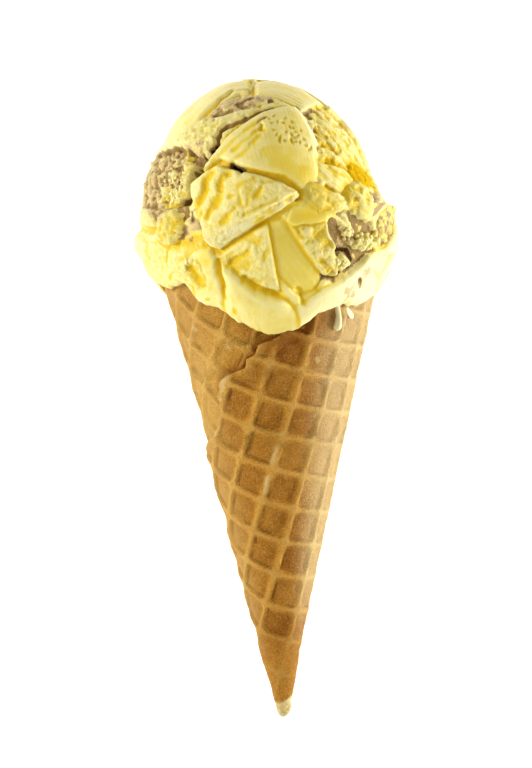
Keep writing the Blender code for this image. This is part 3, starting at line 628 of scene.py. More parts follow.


# Each outline is measured over the surface from the middle of the ball's front (or back), in mm
# to the right and up. Heights are over the plain scoop; ridges and brush lines are (pitch, depth,
# angle), dents (pitch, stretch, angle, depth), a bend (angle, drop 10 mm off the middle), a flank
# (the way it faces, width, drop) and a groove left under one edge (depth, width, its side).
# Ragged is how far the outline strays, rough how much crumb rides on top, and the painted shading
# how yellow the fold is painted as shade, pale below 0 as a painted highlight. Grooves, dents and
# pores are painted yellower as shade, flanks paler as painted light. A sunk fold has its lip
# outside its outline.
folds = [
    fold("upper right dome", -1.3, [
        (-5, 34), (-3, 54), (14, 56), (30, 44), (22, 27), (12, 21.5), (6.5, 26.5), (1.5, 28)],
        crown=0.6, lip=2.2, brush=(1.6, 0.07, 62), rough=0.08, ragged=0.3),
    fold("upper left dome", -1.1, [
        (-58, 4), (-56, 20), (-42, 38), (-30, 50), (-10, 56), (-3.8, 37), (-8, 31), (-18.5, 25),
        (-27, 16.3), (-34, 15), (-41, 11)], crown=0.9, lip=2.4, under=(0.6, 1.2, -45),
        brush=(1.8, 0.05, 40), rough=0.04, ragged=0.3),
    fold("hollow side of the left dome", -2, [
        (-29, 20.2), (-21.9, 26.1), (-16.4, 31.7), (-11.1, 38.5), (-5, 39), (-5, 33.5),
        (-8.5, 33.5), (-13.5, 31), (-17.8, 26), (-23, 23)], sunk=True, crown=0, lip=1.4,
        rough=0.05),
    fold("rolled ledge of the left dome", -0.9, [
        (-17, 27.6), (-14.6, 31.8), (-12.4, 35.8), (-10.2, 39), (-4.8, 39), (-4.8, 36.4),
        (-8.3, 36.2), (-10.4, 34.4), (-12.7, 31.2), (-15.5, 27.4)], crown=0.3),
    fold("right brushed fold", -1.8, [
        (12, 27), (25, 40), (36, 36), (48, 25), (56, 10), (52, 0), (33, -2.6), (22, -1.7), (16, 0),
        (14.5, 7), (16, 15)], lip=1.4, ridges=(4.6, 0.8, 50), dents=(1.6, 1.3, -40, 0.4),
        rough=0.5, ragged=0.7, paintedShading=0.1),
    fold("left hollow", -2.2, [
        (-70, -3), (-68, 15), (-50, 20.5), (-42.6, 20.6), (-35.3, 18.6), (-28, 18), (-20.5, 13.6),
        (-17, 10), (-19, 5), (-21.5, 1), (-22, -5.5), (-26.5, -8.5), (-33.5, -10)], sunk=True,
        slope=(-0.15, 0), crown=0.3, lip=1.4, ridges=(5.6, 1.2, 12), dents=(1.4, 1.3, 100, 0.7),
        rough=1.3, ragged=0.9, tan=0.9),
    fold("tan band", 0.7, [
        (-24, 15), (-21.5, 20.6), (-18.6, 24.4), (-14.6, 28.8), (-7.6, 32.6), (0, 32.5), (7, 29),
        (8.5, 25.5), (2.4, 24.4), (-2.7, 21.8), (-7, 18.9), (-11.6, 15.8), (-15.5, 13),
        (-19.5, 11.6)], slope=(0, -0.04), lip=1.2, dents=(1.3, 1.6, 30, 0.8), rough=0.6,
        ragged=0.7),
    fold("strip under the band", 1.35, [
        (-21.6, 22.9), (-17.5, 23.2), (-12.9, 23), (-8.7, 23.7), (-4.8, 24.7), (-0.7, 26.2),
        (2.4, 28.1), (6, 29.2), (10.2, 28.5), (11.9, 23.8), (9.7, 24.6), (6.4, 25.6), (2.6, 24.5),
        (-0.7, 23.6), (-3.7, 21.8), (-6.6, 20.1), (-10.6, 18.9), (-13.2, 16.3), (-13.9, 13.4),
        (-15.5, 13.7), (-17, 16.7), (-20.8, 20.7)], slope=(-0.06, -0.05), crown=0.1, lip=1.7,
        under=(0.6, 0.7, -60), rough=0.55, ragged=0.7),
    fold("crumbly end of the strip", 1.3, [
        (-28.9, 16.9), (-26.8, 20.3), (-22.6, 22.9), (-19.1, 24.6), (-15.5, 24.4), (-12.6, 20.9),
        (-13, 17.3), (-15, 14.9), (-15.3, 12.1), (-16.4, 9.7), (-17.9, 12.5), (-20.2, 14.9),
        (-23.8, 14.7)], slope=(0.06, 0), crown=0.1, lip=1.6, rough=1.2, ragged=1),
    fold("central lobe", 1.3, [
        (-17.5, 6), (-15.5, 9.3), (-13.2, 12.1), (-10.4, 15.2), (-7, 18.2), (-3.3, 21),
        (-0.4, 22.9), (2.6, 24.3), (6.4, 26.1), (10.4, 27.1), (13.3, 23), (15.2, 18.6),
        (16.5, 14.3), (17.1, 10.1), (16.5, 4.9), (13.6, 0.6), (9.9, -1), (4.9, 3.5), (-1.1, 4.7),
        (-6.9, 6.2), (-11.9, 8.9)], slope=(-0.08, 0), bend=(-8, 0.5), flank=((1, 0), 2.4, 0.6),
        crown=0.4, lip=0.6, brush=(1.1, 0.03, 10), rough=0.07, ragged=0.06),
    fold("fringe by the lobe", -0.4, [
        (-22.6, 10.6), (-20.7, 9.4), (-21.9, 6.1), (-22.6, 2.6), (-23.3, -1.4), (-25.2, -3.5),
        (-27, -2.2), (-26.4, 1.7), (-25.2, 5.3), (-24.4, 8.2)], dents=(1, 1.5, 60, 0.5), rough=1,
        ragged=1),
    fold("knob above the fringe", 0.1, [
        (-18.2, 12.8), (-15.8, 12.2), (-15.4, 10.2), (-17.4, 9.8)], crown=0.6, rough=0.6),
    fold("crumbly ridge beside the lobe", -0.7, [
        (15, 12.9), (18.2, 14.1), (21.9, 13.1), (26, 11.5), (23.5, 9), (18.8, 8.6), (15.4, 8.8)],
        crown=0.4, lip=1.2, rough=1.1, ragged=0.7, paintedShading=0.3),
    fold("slab behind the lobe", -0.6, [
        (14.8, 8.8), (18.7, 8.3), (24.5, 7.7), (28.2, 4.9), (33.2, 1.7), (34.2, -1.9),
        (28.2, -3.1), (23.5, -2), (21.3, -0.9), (17, 1.3), (13.4, 2.8), (14.9, 6.1)],
        slope=(0.03, 0), crown=0.3, lip=0.8, under=(0.7, 0.9, 60), ridges=(3.4, 0.35, 50),
        brush=(1.2, 0.12, 50), ragged=0.3),
    fold("right round slab", 0.4, [
        (29.2, 3.7), (33, 1.8), (34.9, -1.5), (32.5, -5), (30.5, -8.2), (28.4, -10.5),
        (25.6, -12.7), (24.3, -10.9), (23.4, -8.3), (22.7, -5.6), (21.5, -2.9), (22.3, -0.6),
        (25.1, 1.7)], slope=(0.06, 0), crown=0.9, lip=1.1, under=(0.9, 0.9, 0),
        dents=(1.4, 1.6, 60, 0.4), rough=0.7, ragged=0.35, paintedShading=0.2),
    fold("middle right lumps", 0.6, [
        (9.2, 0), (11.9, 2.2), (14.5, 1.2), (17.4, -0.4), (19.6, -2.1), (20.7, -4.3), (16.7, -5.5),
        (13.5, -6.1), (10.9, -4.7), (8.1, -3.3)], slope=(0.02, 0.02), lip=0.8,
        ridges=(2.6, 0.5, 52), dents=(1.4, 2.6, -40, 0.35), rough=0.6, ragged=0.5, paintedShading=0.55),
    fold("middle right face", 0.3, [
        (4.6, -8), (6.5, -4.2), (10.1, -4.9), (13, -6.3), (16.4, -5.4), (22.4, -4.8), (20.6, -6.2),
        (16.1, -8), (10.9, -8.9), (6.5, -9.3)], bend=(90, -6), crown=0, lip=0.8,
        under=(0.5, 0.7, -90), brush=(0.9, 0.05, 95), rough=0.04, ragged=0.15, paintedShading=0.65),
    fold("right hollow", -3, [
        (16, -8.5), (21, -6), (28.3, -8.7), (31, -12), (31.5, -16), (28, -19), (21.5, -22.8),
        (18.4, -21.8), (17.2, -14)], sunk=True, slope=(0.02, 0), crown=0.2, lip=1.3,
        ridges=(4.6, 0.9, 150), rough=1, ragged=0.8, tan=0.4),
    fold("ribs over the right hollow", -1, [
        (17.4, -6.6), (20.4, -5.2), (22.5, -6.1), (23.3, -8.8), (24.6, -11.7), (22.1, -13.6),
        (20, -12.2), (18.4, -9.6)], lip=1, ridges=(2.4, 0.9, 40), rough=0.5, ragged=0.5, tan=0.25),
    fold("strap beside the right hollow", -0.7, [
        (51.1, 1.2), (49.4, -1.3), (50.2, -4.3), (51.3, -8.5), (44.5, -13), (37.6, -16.7),
        (32.4, -16.3), (30.2, -14.3), (32.2, -11.1), (36, -7.5), (41.5, -3.7)], lip=1.2,
        under=(0.9, 0.9, 180), ridges=(4.4, 0.5, 40), rough=1.2, ragged=0.8, tan=0.5, paintedShading=0.5),
    fold("crumbs beside the right hollow", -0.6, [
        (21, -14.9), (22.8, -13.6), (25.8, -13.2), (29.8, -12.4), (31.4, -14.9), (30.3, -17.2),
        (26.2, -17.2), (23.2, -16.8)], crown=0.3, rough=1.5, ragged=0.8),
    fold("lump in the right hollow", 0.2, [
        (17.4, -18), (20, -17), (22.5, -20.1), (18.7, -21.9), (17, -20.3)], crown=0.7, rough=0.8,
        ragged=0.5),
    fold("rough stroke", 0.5, [
        (6.6, -9.6), (11.3, -8.6), (14.7, -9), (16.7, -14.4), (18, -17.3), (17.2, -21.6),
        (14, -22.6), (10.7, -18.1), (8.7, -14.6), (5.8, -11.4)], slope=(0.06, 0.02),
        under=(0.3, 0.7, 200), ridges=(3.4, 0.45, 125), dents=(1.5, 2, -50, 0.4), rough=0.9,
        ragged=0.8, paintedShading=0.15),
    fold("smooth stroke", -0.9, [
        (0.2, -8.2), (3, -6.6), (4.6, -8), (6.7, -11.8), (8.7, -14.6), (10.7, -18.1),
        (13.7, -22.3), (11.8, -24.7), (7.2, -25.6), (3.9, -23.1), (1.8, -20.9), (1.3, -16.9),
        (0.7, -12.2)], sunk=True, slope=(-0.03, 0), crown=0, brush=(1.6, 0.06, 35), rough=0.06,
        ragged=0.15, paintedShading=0.25),
    fold("left skirt", -0.8, [
        (-56, -12), (-51, -12.8), (-43.6, -11), (-37.6, -11.4), (-31.7, -12.6), (-28.9, -13.4),
        (-24.2, -12.6), (-20, -11), (-16.2, -10.1), (-14.7, -12.3), (-13.9, -18.8), (-15.8, -24),
        (-19.4, -34), (-34, -40), (-50, -34)], crown=0.9, lip=1.6, rough=0.7, ragged=0.6),
    fold("corner of the left skirt", 0.4, [
        (-60, -12.2), (-52, -12), (-44, -11.6), (-38, -14), (-40, -19), (-47, -21), (-60, -20)],
        crown=0.4, lip=2, rough=0.3, ragged=0.5),
    fold("outer left lump", 0.2, [
        (-46.2, -5.7), (-45.9, -2.2), (-38.8, -2.5), (-35.7, -5.2), (-33.5, -8.5), (-36.4, -10.9),
        (-42.4, -10.1)], crown=0.8, lip=1.4, rough=0.9),
    fold("left lump", 1.2, [
        (-33.3, -5.3), (-30.7, -3.5), (-27.1, -3.3), (-24.3, -5.6), (-22.4, -8.6), (-22.1, -10.4),
        (-24.6, -13.5), (-29.4, -14), (-32, -11.7)], bend=(0, 2), crown=1.2, lip=1.6,
        under=(0.6, 1, -60), rough=1.5, ragged=0.9, paintedShading=0.35),
    fold("lower fold", 0.1, [
        (-12.5, -16.6), (-7.5, -13.6), (-4.4, -9.9), (-0.2, -8.6), (0.5, -12.2), (1.2, -16.9),
        (1.9, -21.6), (2.6, -24.8), (-1.6, -24.2), (-6.4, -21.6), (-10.2, -19.2)],
        slope=(0.09, 0.05), crown=0.2, lip=1, under=(0.6, 0.7, -20), dents=(1.4, 1.6, 60, 0.2),
        rough=0.5, ragged=0.2),
    fold("centre skirt", 1.2, [
        (-11.8, -17.6), (-9.6, -19), (-6.7, -21.5), (-3.7, -23.4), (-1.2, -24.6), (2.6, -25.2),
        (4.1, -26), (5.5, -27.9), (8, -40), (-4, -44), (-14, -38), (-11, -28), (-11.4, -22)],
        slope=(0, 0.02), bend=(0, 1.2), crown=0.9, lip=1.1, under=(0.5, 0.8, 0), rough=0.1,
        ragged=0.35),
    fold("skirt panel left of the centre", 0.5, [
        (-21, -16), (-17.3, -13.7), (-14.2, -13.6), (-12.6, -17.1), (-12, -22), (-11.2, -25.5),
        (-11.5, -32), (-19.5, -32), (-19.8, -25)], slope=(0.05, 0.03), crown=0.9, lip=1.6,
        rough=0.25, ragged=0.5),
    fold("crumbly rim of the cavity", 0.9, [
        (-24, -18), (-20.3, -15.9), (-17.8, -16.2), (-16.3, -19), (-15.9, -23), (-18.5, -24.8),
        (-20.9, -24), (-23.9, -21.4)], crown=0.6, lip=1.4, rough=1.1, ragged=0.9),
    fold("right lip", -0.2, [
        (6.3, -27.3), (9.2, -26.3), (13.5, -24.6), (18.7, -23.3), (23.4, -21.1), (29.1, -17.9),
        (37, -17.4), (46, -12), (60, -16), (58, -34), (36, -42), (20, -42), (9, -40)],
        slope=(-0.02, 0.05), crown=0.9, lip=1.1, under=(0.5, 0.8, 90), rough=0.06, ragged=0.2,
        paintedShading=-0.65),
    fold("hollow facet of the right lip", -0.8, [
        (30.4, -18.9), (34.6, -18.8), (41.5, -20.2), (38.9, -24.7), (34.7, -27.3), (31, -23.5)],
        sunk=True, crown=0, lip=1.2, rough=0.05, ragged=0.2, paintedShading=-0.5),
    fold("side of the front leaf", 1.5, [
        (-16.5, -8), (-9.2, -6), (-0.4, -3.7), (6.2, -0.8), (8.5, -0.8), (8.1, -2.2), (3.8, -5.1),
        (-0.4, -7.4), (-4.6, -9.7), (-8.3, -12), (-11.9, -14.6), (-14.1, -13.5), (-15.5, -11.7)],
        slope=(-0.24, 0.44), crown=0, lip=0.6, under=(1.3, 1.2, -60), dents=(1.1, 1.6, 28, 0.2),
        rough=0.45, ragged=0.25, paintedShading=-0.75),
    fold("front leaf", 2.5, [
        (-21.1, 2.8), (-16.8, 5.5), (-12.2, 7.4), (-8.8, 5.8), (-4.4, 4.5), (-0.1, 3.3), (3.7, 2),
        (8.2, -0.8), (4, -2.7), (-0.8, -4.9), (-5.6, -7.2), (-9.8, -9.2), (-13.4, -11.7),
        (-15.2, -11), (-16.8, -8.7), (-17.9, -6), (-20.3, -1.4)], slope=(0.07, 0.03),
        under=(0.5, 0.8, 90), rough=0.45, ragged=0.3),
    fold("back crown", -0.6, [
        (-40, 14), (-28, 34), (-6, 48), (18, 44), (36, 28), (26, 16), (4, 26), (-16, 20),
        (-30, 6)], side="back", crown=0.8, lip=2, brush=(1.7, 0.12, 80), rough=0.1),
    fold("back left flank", -0.4, [
        (32, -2), (29, 14), (40, 24), (54, 14), (56, -6), (44, -16)], side="back", crown=0.6,
        lip=1.6, ridges=(4.8, 0.7, 100), rough=0.6, ragged=0.7),
    fold("back right flank", -0.4, [
        (-34, 2), (-30, 16), (-42, 22), (-55, 10), (-56, -8), (-44, -14)], side="back", crown=0.7,
        lip=1.6, ridges=(5.2, 0.6, 70), rough=0.4, ragged=0.6),
    fold("back skirt swell", 0.5, [
        (-46, -16), (-30, -15), (-8, -21), (12, -18), (30, -21), (46, -17), (52, -44), (0, -56),
        (-52, -44)], side="back", crown=1.1, lip=1.8, rough=0.35, ragged=0.6),
    fold("back roll", 0.6, [
        (-30, 6), (-22, 24), (-4, 33), (17, 28), (29, 12), (22, 3), (4, 9), (-14, 2)], side="back",
        slope=(0, 0.02), crown=1.2, lip=1.6, ridges=(6, 0.6, 62), brush=(1.5, 0.15, 62),
        rough=0.4),
    fold("back slab", 0.8, [
        (-34, -2), (-16, 4), (-2, -2), (6, -12), (-8, -19), (-30, -15)], side="back",
        slope=(0.03, 0), crown=1, lip=1.4, ridges=(5.5, 0.6, -28), rough=0.6),
    fold("back stroke", -0.9, [
        (10, 4), (26, 2), (36, -8), (26, -17), (10, -13), (4, -5)], side="back", sunk=True,
        crown=0.4, lip=1.6, brush=(1.4, 0.15, 20), rough=0.1),
]

# Cuts and creases: half width and depth in mm, how yellow as painted shade (a dark painted shadow
# below 0), route
cuts = [
    # holes, slits and notches
    (1.1, 3, -1.1, [(-15, 12), (-13.9, 13.4)]),
    (0.7, 3, -1, [(-8.8, 6.8), (-7.4, 5.9), (-6.1, 4.7)]),
    (0.6, 2, 1.1, [(-6.4, -21.2), (-3.7, -23), (-1.7, -24.1), (2.1, -25.1)]),
    (0.9, 1.6, 1, [(7.2, -24.8), (7.8, -26.2)]),
    (1.2, 1.6, 0, [(-4.3, 34), (-4.6, 46)]),
    (1.1, 2.2, 0, [(39.9, -1.6), (34.1, -5.7), (31, -8.8), (28.1, -11.4)]),
    (1, 2.2, -1, [(18.4, -16), (21.3, -17), (22.8, -19.6)]),
    (0.7, 1.8, -0.8, [(13.6, -22), (16.2, -22.9), (18.7, -22.4), (22.2, -21.2)]),
    # grooves across the front leaf
    (1, 1.3, 1, [(-13.7, 5.1), (-15.3, 3.2), (-15.6, 0.8), (-17.1, -1.5), (-18.7, -3.6)]),
    (0.8, 0.7, 0.7, [(-20.2, 4.4), (-21.6, 1.3)]),
    (0.9, 1.4, 1, [(-9.5, 4), (-10.8, 2.5), (-11.7, 0.3)]),
    (0.9, 1.2, 1, [(-12, -1.6), (-13.1, -3.8), (-14.6, -6.1)]),
    (0.6, 0.8, 0.8, [(-3, 2.7), (-5.4, 1), (-6.6, 0.2)]),
    (0.5, 0.6, 0.9, [(-6.9, -1), (-8.5, -1.5)]),
    (0.65, 0.9, 0.8, [(-7.4, -4.1), (-9.2, -6), (-10.8, -7.8)]),
    (0.5, 0.7, 0.5, [(-6.3, -0.3), (-6, -3.3)]),
    (0.5, 0.6, 0.4, [(-4.2, 0.1), (-4.6, -3.3)]),
    (0.7, 0.8, 0.6, [(-0.7, 2), (1.1, 2.3)]),
    (0.5, 0.6, 0.7, [(-1.3, 0.5), (-3.1, -1.7)]),
    (0.45, 0.45, 0.4, [(2.4, -2.4), (-1.3, -3.7), (-5.6, -5.9)]),
    (0.5, 0.6, 0.8, [(-16.6, -4.7), (-17.4, -6)]),
    # streaks along the central lobe, and its nick
    (0.5, 0.5, 0.6, [(-13.9, 8.5), (-10.3, 12.3), (-6.5, 15.1), (-2.7, 18.6), (0.6, 20.8)]),
    (0.5, 0.55, 0.7, [(-8.3, 10.6), (-4.7, 13.7), (-1.9, 16.3), (-0.4, 17.3)]),
    (0.5, 0.5, 0.6, [(-10.2, 5.8), (-6.4, 9), (-3.7, 12.1), (-0.9, 15.1)]),
    (0.45, 0.4, 0.5, [(-11.9, 9.8), (-8.1, 13.3), (-4.2, 17.2)]),
    (0.5, 0.9, 0.2, [(-0.6, 18.5), (-0.7, 16.8)]),
    # creases and grooves between the folds
    (0.5, 1.8, -0.55, [(-14.1, 12.5), (-13.5, 16), (-10.6, 19.1), (-6.6, 20.3), (-3.7, 22),
        (-0.7, 23.8), (2.7, 24.7)]),
    (0.9, 1.4, 1.25, [(17.8, 14.7), (19.6, 15), (23.3, 13.3)]),
    (0.8, 1.4, 1.3, [(18.4, 9.8), (20.6, 9.6), (24.8, 8.3), (28, 5.2)]),
    # notches, hollows and cracks at the left
    (1.5, 3.2, 0.3, [(-64, -9.4), (-52, -9.4), (-36, -9.6)]),
    (1.2, 2.6, 1.1, [(-20.4, -19.3), (-19.2, -20.8), (-17.7, -22.2)]),
    (1.3, 2, -0.85, [(-20.8, 6.8), (-19, 8.3), (-16.4, 9.9)]),
    (0.9, 2.6, -0.75, [(-20.8, -4.4), (-20.5, -6.6)]),
    (0.35, 0.7, 0.9, [(-28, -13.6), (-29, -16.1), (-29.1, -18.4)]),
    (0.4, 0.8, 0.9, [(-27.2, -21.2), (-29, -23.6)]),
    # cuts by the centre skirt
    (0.55, 1.1, 0.6, [(-12.4, -17), (-11.9, -20.6), (-11, -24.6)]),
    (0.6, 1, 0.6, [(-9.6, -17.6), (-7.1, -16.5), (-4.9, -15.1)]),
    # faces and sides painted a deeper gold, as painted shade
    (2.4, 0.3, 0.75, [(-21, -11.6), (-17.7, -11.7), (-15.3, -14.4)]),
    (1.2, 0.5, 0.9, [(-24.9, -7), (-25.5, -9.8)]),
    (1.3, 0.8, 1.1, [(23.8, 1.3), (22.9, -1.7)]),
    (1.2, 0.5, 1, [(40.8, -9.8), (38.2, -13), (36.2, -15)]),
    (0.7, 1, 1, [(22.7, -6.9), (24.2, -9.3), (25.4, -10.7)]),
    (3.2, 0.2, 2.8, [(32, 7.8), (39, 7), (50, 8)]),
    (3.4, 0, 0.5, [(3.5, 8.5), (6, 6), (10, 3.6)]),
    (0.6, 0.8, 1.3, [(18.6, 8.8), (21.5, 9), (26.7, 7.8), (29.4, 5.4)]),
    (1, 0.6, 1, [(18.9, 6.9), (22.3, 5.5), (26, 4)]),
    (1.6, 0.6, 0.8, [(-1.5, -8.4), (1.8, -6.4)]),
    # edge of the right lip's facet
    (0.4, 0.4, 0.5, [(30.6, -19.4), (30.7, -23), (33.9, -27)]),
]

# Ripple and bare patches: how tan, how soft the edge is in mm, outline
ripples = [
    (0.95, 1.6, [(-21, 22.6), (-18.4, 25), (-15.9, 28.4), (-12.2, 31), (-7.7, 32.9), (-2.4, 32.8),
        (2.7, 31.2), (6.4, 28.8), (1.5, 28.3), (-2.9, 26.4), (-7.2, 23.4), (-12, 22.9),
        (-16.2, 22.7)]),
    (0.95, 2.2, [(-70, 8), (-66, 19), (-51, 21.6), (-42.8, 21.6), (-35.3, 19.4), (-31.1, 18.2),
        (-26.6, 17.2), (-23.9, 15.3), (-24.2, 10.5), (-25.2, 5.3), (-27.3, 2.1), (-26.8, -2.1),
        (-29.2, -6.6), (-34.1, -8.2), (-39.7, -3.8), (-46.8, 0.7), (-66, -1)]),
    (0.95, 1.2, [(-24.6, 13.5), (-23.9, 15.3), (-19.3, 15.7), (-17.3, 16.8), (-16.7, 14),
        (-18.4, 12.2), (-17, 10), (-19.5, 6.6), (-21.5, 7.6), (-21.4, 9.8), (-22.7, 11.1)]),
    (0.3, 2.2, [(8.8, 28.6), (12.7, 33.7), (16.4, 33.9), (19.2, 28.7), (18.3, 22.5), (16.7, 17.4),
        (15.1, 18.8), (13.2, 23.4), (10.8, 26.7)]),
    (0.95, 1.6, [(15.1, -8.9), (16.8, -8.2), (19.1, -9.5), (21.5, -12.9), (25.4, -12.2),
        (23.3, -14.2), (22, -16.4), (23.4, -19.6), (19.6, -17.3), (17.7, -16.9), (15.6, -12.2)]),
    (0.5, 1.4, [(22.3, -7.1), (24.8, -8.6), (27, -12.3), (24.6, -11.9)]),
    (1, 1, [(39.5, 0.6), (51.1, 0.7), (39.7, -4.4), (34.3, -8.1), (30.2, -11), (27.1, -12.1),
        (29.7, -9), (32.9, -5.4)]),
    (0.6, 2.4, [(26.3, -17.5), (28.7, -19.5), (28.6, -22.9), (24.4, -25.1), (21, -27.1),
        (18.1, -29.1), (16.3, -29.7), (17.3, -27.9), (20.8, -25), (23.4, -21.9)]),
    (0.9, 1, [(-22.1, -9), (-21.5, -5), (-19.4, -5.4), (-17.6, -7.7), (-17.8, -9.6),
        (-23.6, -12.9), (-24.3, -11.9)]),
    (0.7, 1.2, [(-4.4, 20.6), (-1, 22.2), (2, 23.6), (1.6, 21.6), (-1.4, 20.4)]),
    (0, 1.2, [(-28.2, 16.9), (-26.6, 16.8), (-24.8, 12.3), (-25.2, 9.3), (-28.4, 5.9),
        (-27.6, 10.5)]),
    (0.35, 1.4, [(-33.8, 14.4), (-32.2, 14.4), (-30, 10.9), (-30.9, 4.1), (-32.6, 4.5),
        (-31.8, 10.1)]),
    (0, 1.6, [(-36, 3), (-31.8, 4.2), (-27.4, 1.2), (-26.8, -3.2), (-33.8, -3.6)]),
]

# Pores: middle over the surface, then size and depth where they aren't the plain ones
plainPore = (0.33, 0.41)
pores = [
    (2.6, 21.1), (3.4, 18.9), (2, 18.4), (4.9, 19), (5.7, 20.6), (7.6, 19.8), (6.9, 17.7),
    (7.9, 17.5), (2.3, 16.1), (5.8, 15.9), (7.2, 15.1, 0.4, 0.5), (8.3, 16.3), (8.9, 15),
    (10.1, 17.1), (3.6, 13.3, 0.56, 0.7), (5.2, 13.2), (7, 13.2, 0.52, 0.65), (8.1, 14.2),
    (8.2, 13), (9.4, 12.9), (11.1, 12.2), (11.9, 11.3), (12.6, 11.9), (10.8, 14.1), (3, 14.7),
    (-0.6, 17.9), (4.1, 14.2), (1.3, 19.8), (0, 16.4), (24.5, -24.9, 0.7, 0.9),
    (-8.4, -27.9, 0.5, 0.5), (-15.6, -26.4, 0.4, 0.5)]


def ballMap(direction, side):
    # distances over the ball to the right and up from the middle of its front or back
    sign = 1.0 if side == "front" else -1.0
    facing, across = sign * direction[..., 1], sign * direction[..., 0]
    angle = np.arccos(np.clip(facing, -1.0, 1.0))
    length = np.maximum(np.hypot(across, direction[..., 2]), 1e-9)
    scale = scoop["mapRadius"] * angle / length
    return np.stack([across * scale, direction[..., 2] * scale], axis=-1)


def fromRoute(where, route):
    # distance to a run of straight stretches
    nearest = np.full(where.shape[:-1], 99.0)
    for start, end in zip(route, route[1:]):
        along = np.subtract(end, start)
        offset = where - start
        share = np.clip(offset @ along / (along @ along), 0.0, 1.0)[..., None]
        away = offset - share * along
        nearest = np.minimum(nearest, np.hypot(away[..., 0], away[..., 1]))
    return nearest


def depthInside(where, outline):
    # distance to a closed outline, above 0 inside it, worked out only near it
    outline = [tuple(map(float, point)) for point in outline]
    middle = np.mean(outline, axis=0)
    reach = max(math.dist(middle, point) for point in outline) + 6.0
    near = np.hypot(*(where - middle).T) < reach
    points = where[near]
    inside = np.zeros(len(points), bool)
    for start, end in zip(outline, outline[1:] + outline[:1]):
        crosses = (start[1] > points[:, 1]) != (end[1] > points[:, 1])
        rise = end[1] - start[1] or 1.0
        at = start[0] + (points[:, 1] - start[1]) * (end[0] - start[0]) / rise
        inside ^= crosses & (points[:, 0] < at)
    distance = fromRoute(points, outline + outline[:1])
    found = np.full(len(where), -99.0)
    found[near] = np.where(inside, distance, -distance)
    return found


def turnedAcross(offset, angle):
    turn = math.radians(angle)
    return offset[:, 0] * math.cos(turn) + offset[:, 1] * math.sin(turn)


def gilded(yellow, paintedShading, share):
    # the richer of two yellows painted as shade, a pale one (a painted highlight) giving way by
    # the share
    pale = np.minimum(yellow, 0.0)
    return np.maximum(yellow, pale + (paintedShading - pale) * share)


def ownSurface(one, where, fromMiddle, inside, slow, strength):
    # a fold's own height and its painted shading, yellower in dents as painted shade and paler on
    # a
    # flank as painted light: crown, slope, bend and flank, then ridges as the rounded crests of a
    # sine across it, brush lines as a plain sine and dents as a stretched noise
    own = (one["height"] + one["crown"] * (1.0 - np.exp(-inside / scoop["crownReach"]))
           + np.clip(fromMiddle @ np.array(one["slope"]), -2.0, 2.0) + 0.3 * slow[:, 0])
    paintedShading = one["paintedShading"] + 0 * own
    if one["bend"]:
        angle, drop = one["bend"]
        own -= drop * np.minimum((turnedAcross(fromMiddle, angle) / 10) ** 2, 2.0)
    if one["flank"]:
        facing, width, drop = one["flank"]
        toEdge = depthInside(where + width * np.array(facing), one["outline"])
        flank = np.clip(-toEdge / width, 0.0, 1.2)
        own -= drop * flank
        # painted light: the flank is painted paler
        paintedShading += scoop["flankPaintedLight"] * smooth(3 * flank)
    if one["ridges"]:
        pitch, depth, angle = one["ridges"]
        across = turnedAcross(fromMiddle + 0.9 * slow, angle)
        own -= depth * (1.0 - np.abs(np.sin(math.pi * across / pitch)) ** 0.7) * strength
    if one["brush"]:
        pitch, depth, angle = one["brush"]
        across = turnedAcross(fromMiddle + 0.35 * slow, angle)
        own += depth * np.sin(fullTurn * across / pitch) * strength
    if one["dents"]:
        pitch, stretch, angle, depth = one["dents"]
        moved = fromMiddle + 0.4 * slow
        grid = threes(turnedAcross(moved, angle) / stretch, turnedAcross(moved, angle + 90), 0)
        dent = smooth((noise(grid, pitch, 130) - 0.05) / 0.5)
        own -= depth * dent
        # painted shade: the dents are painted yellower
        paintedShading += scoop["dentPaintedShade"] * dent
    return own, paintedShading


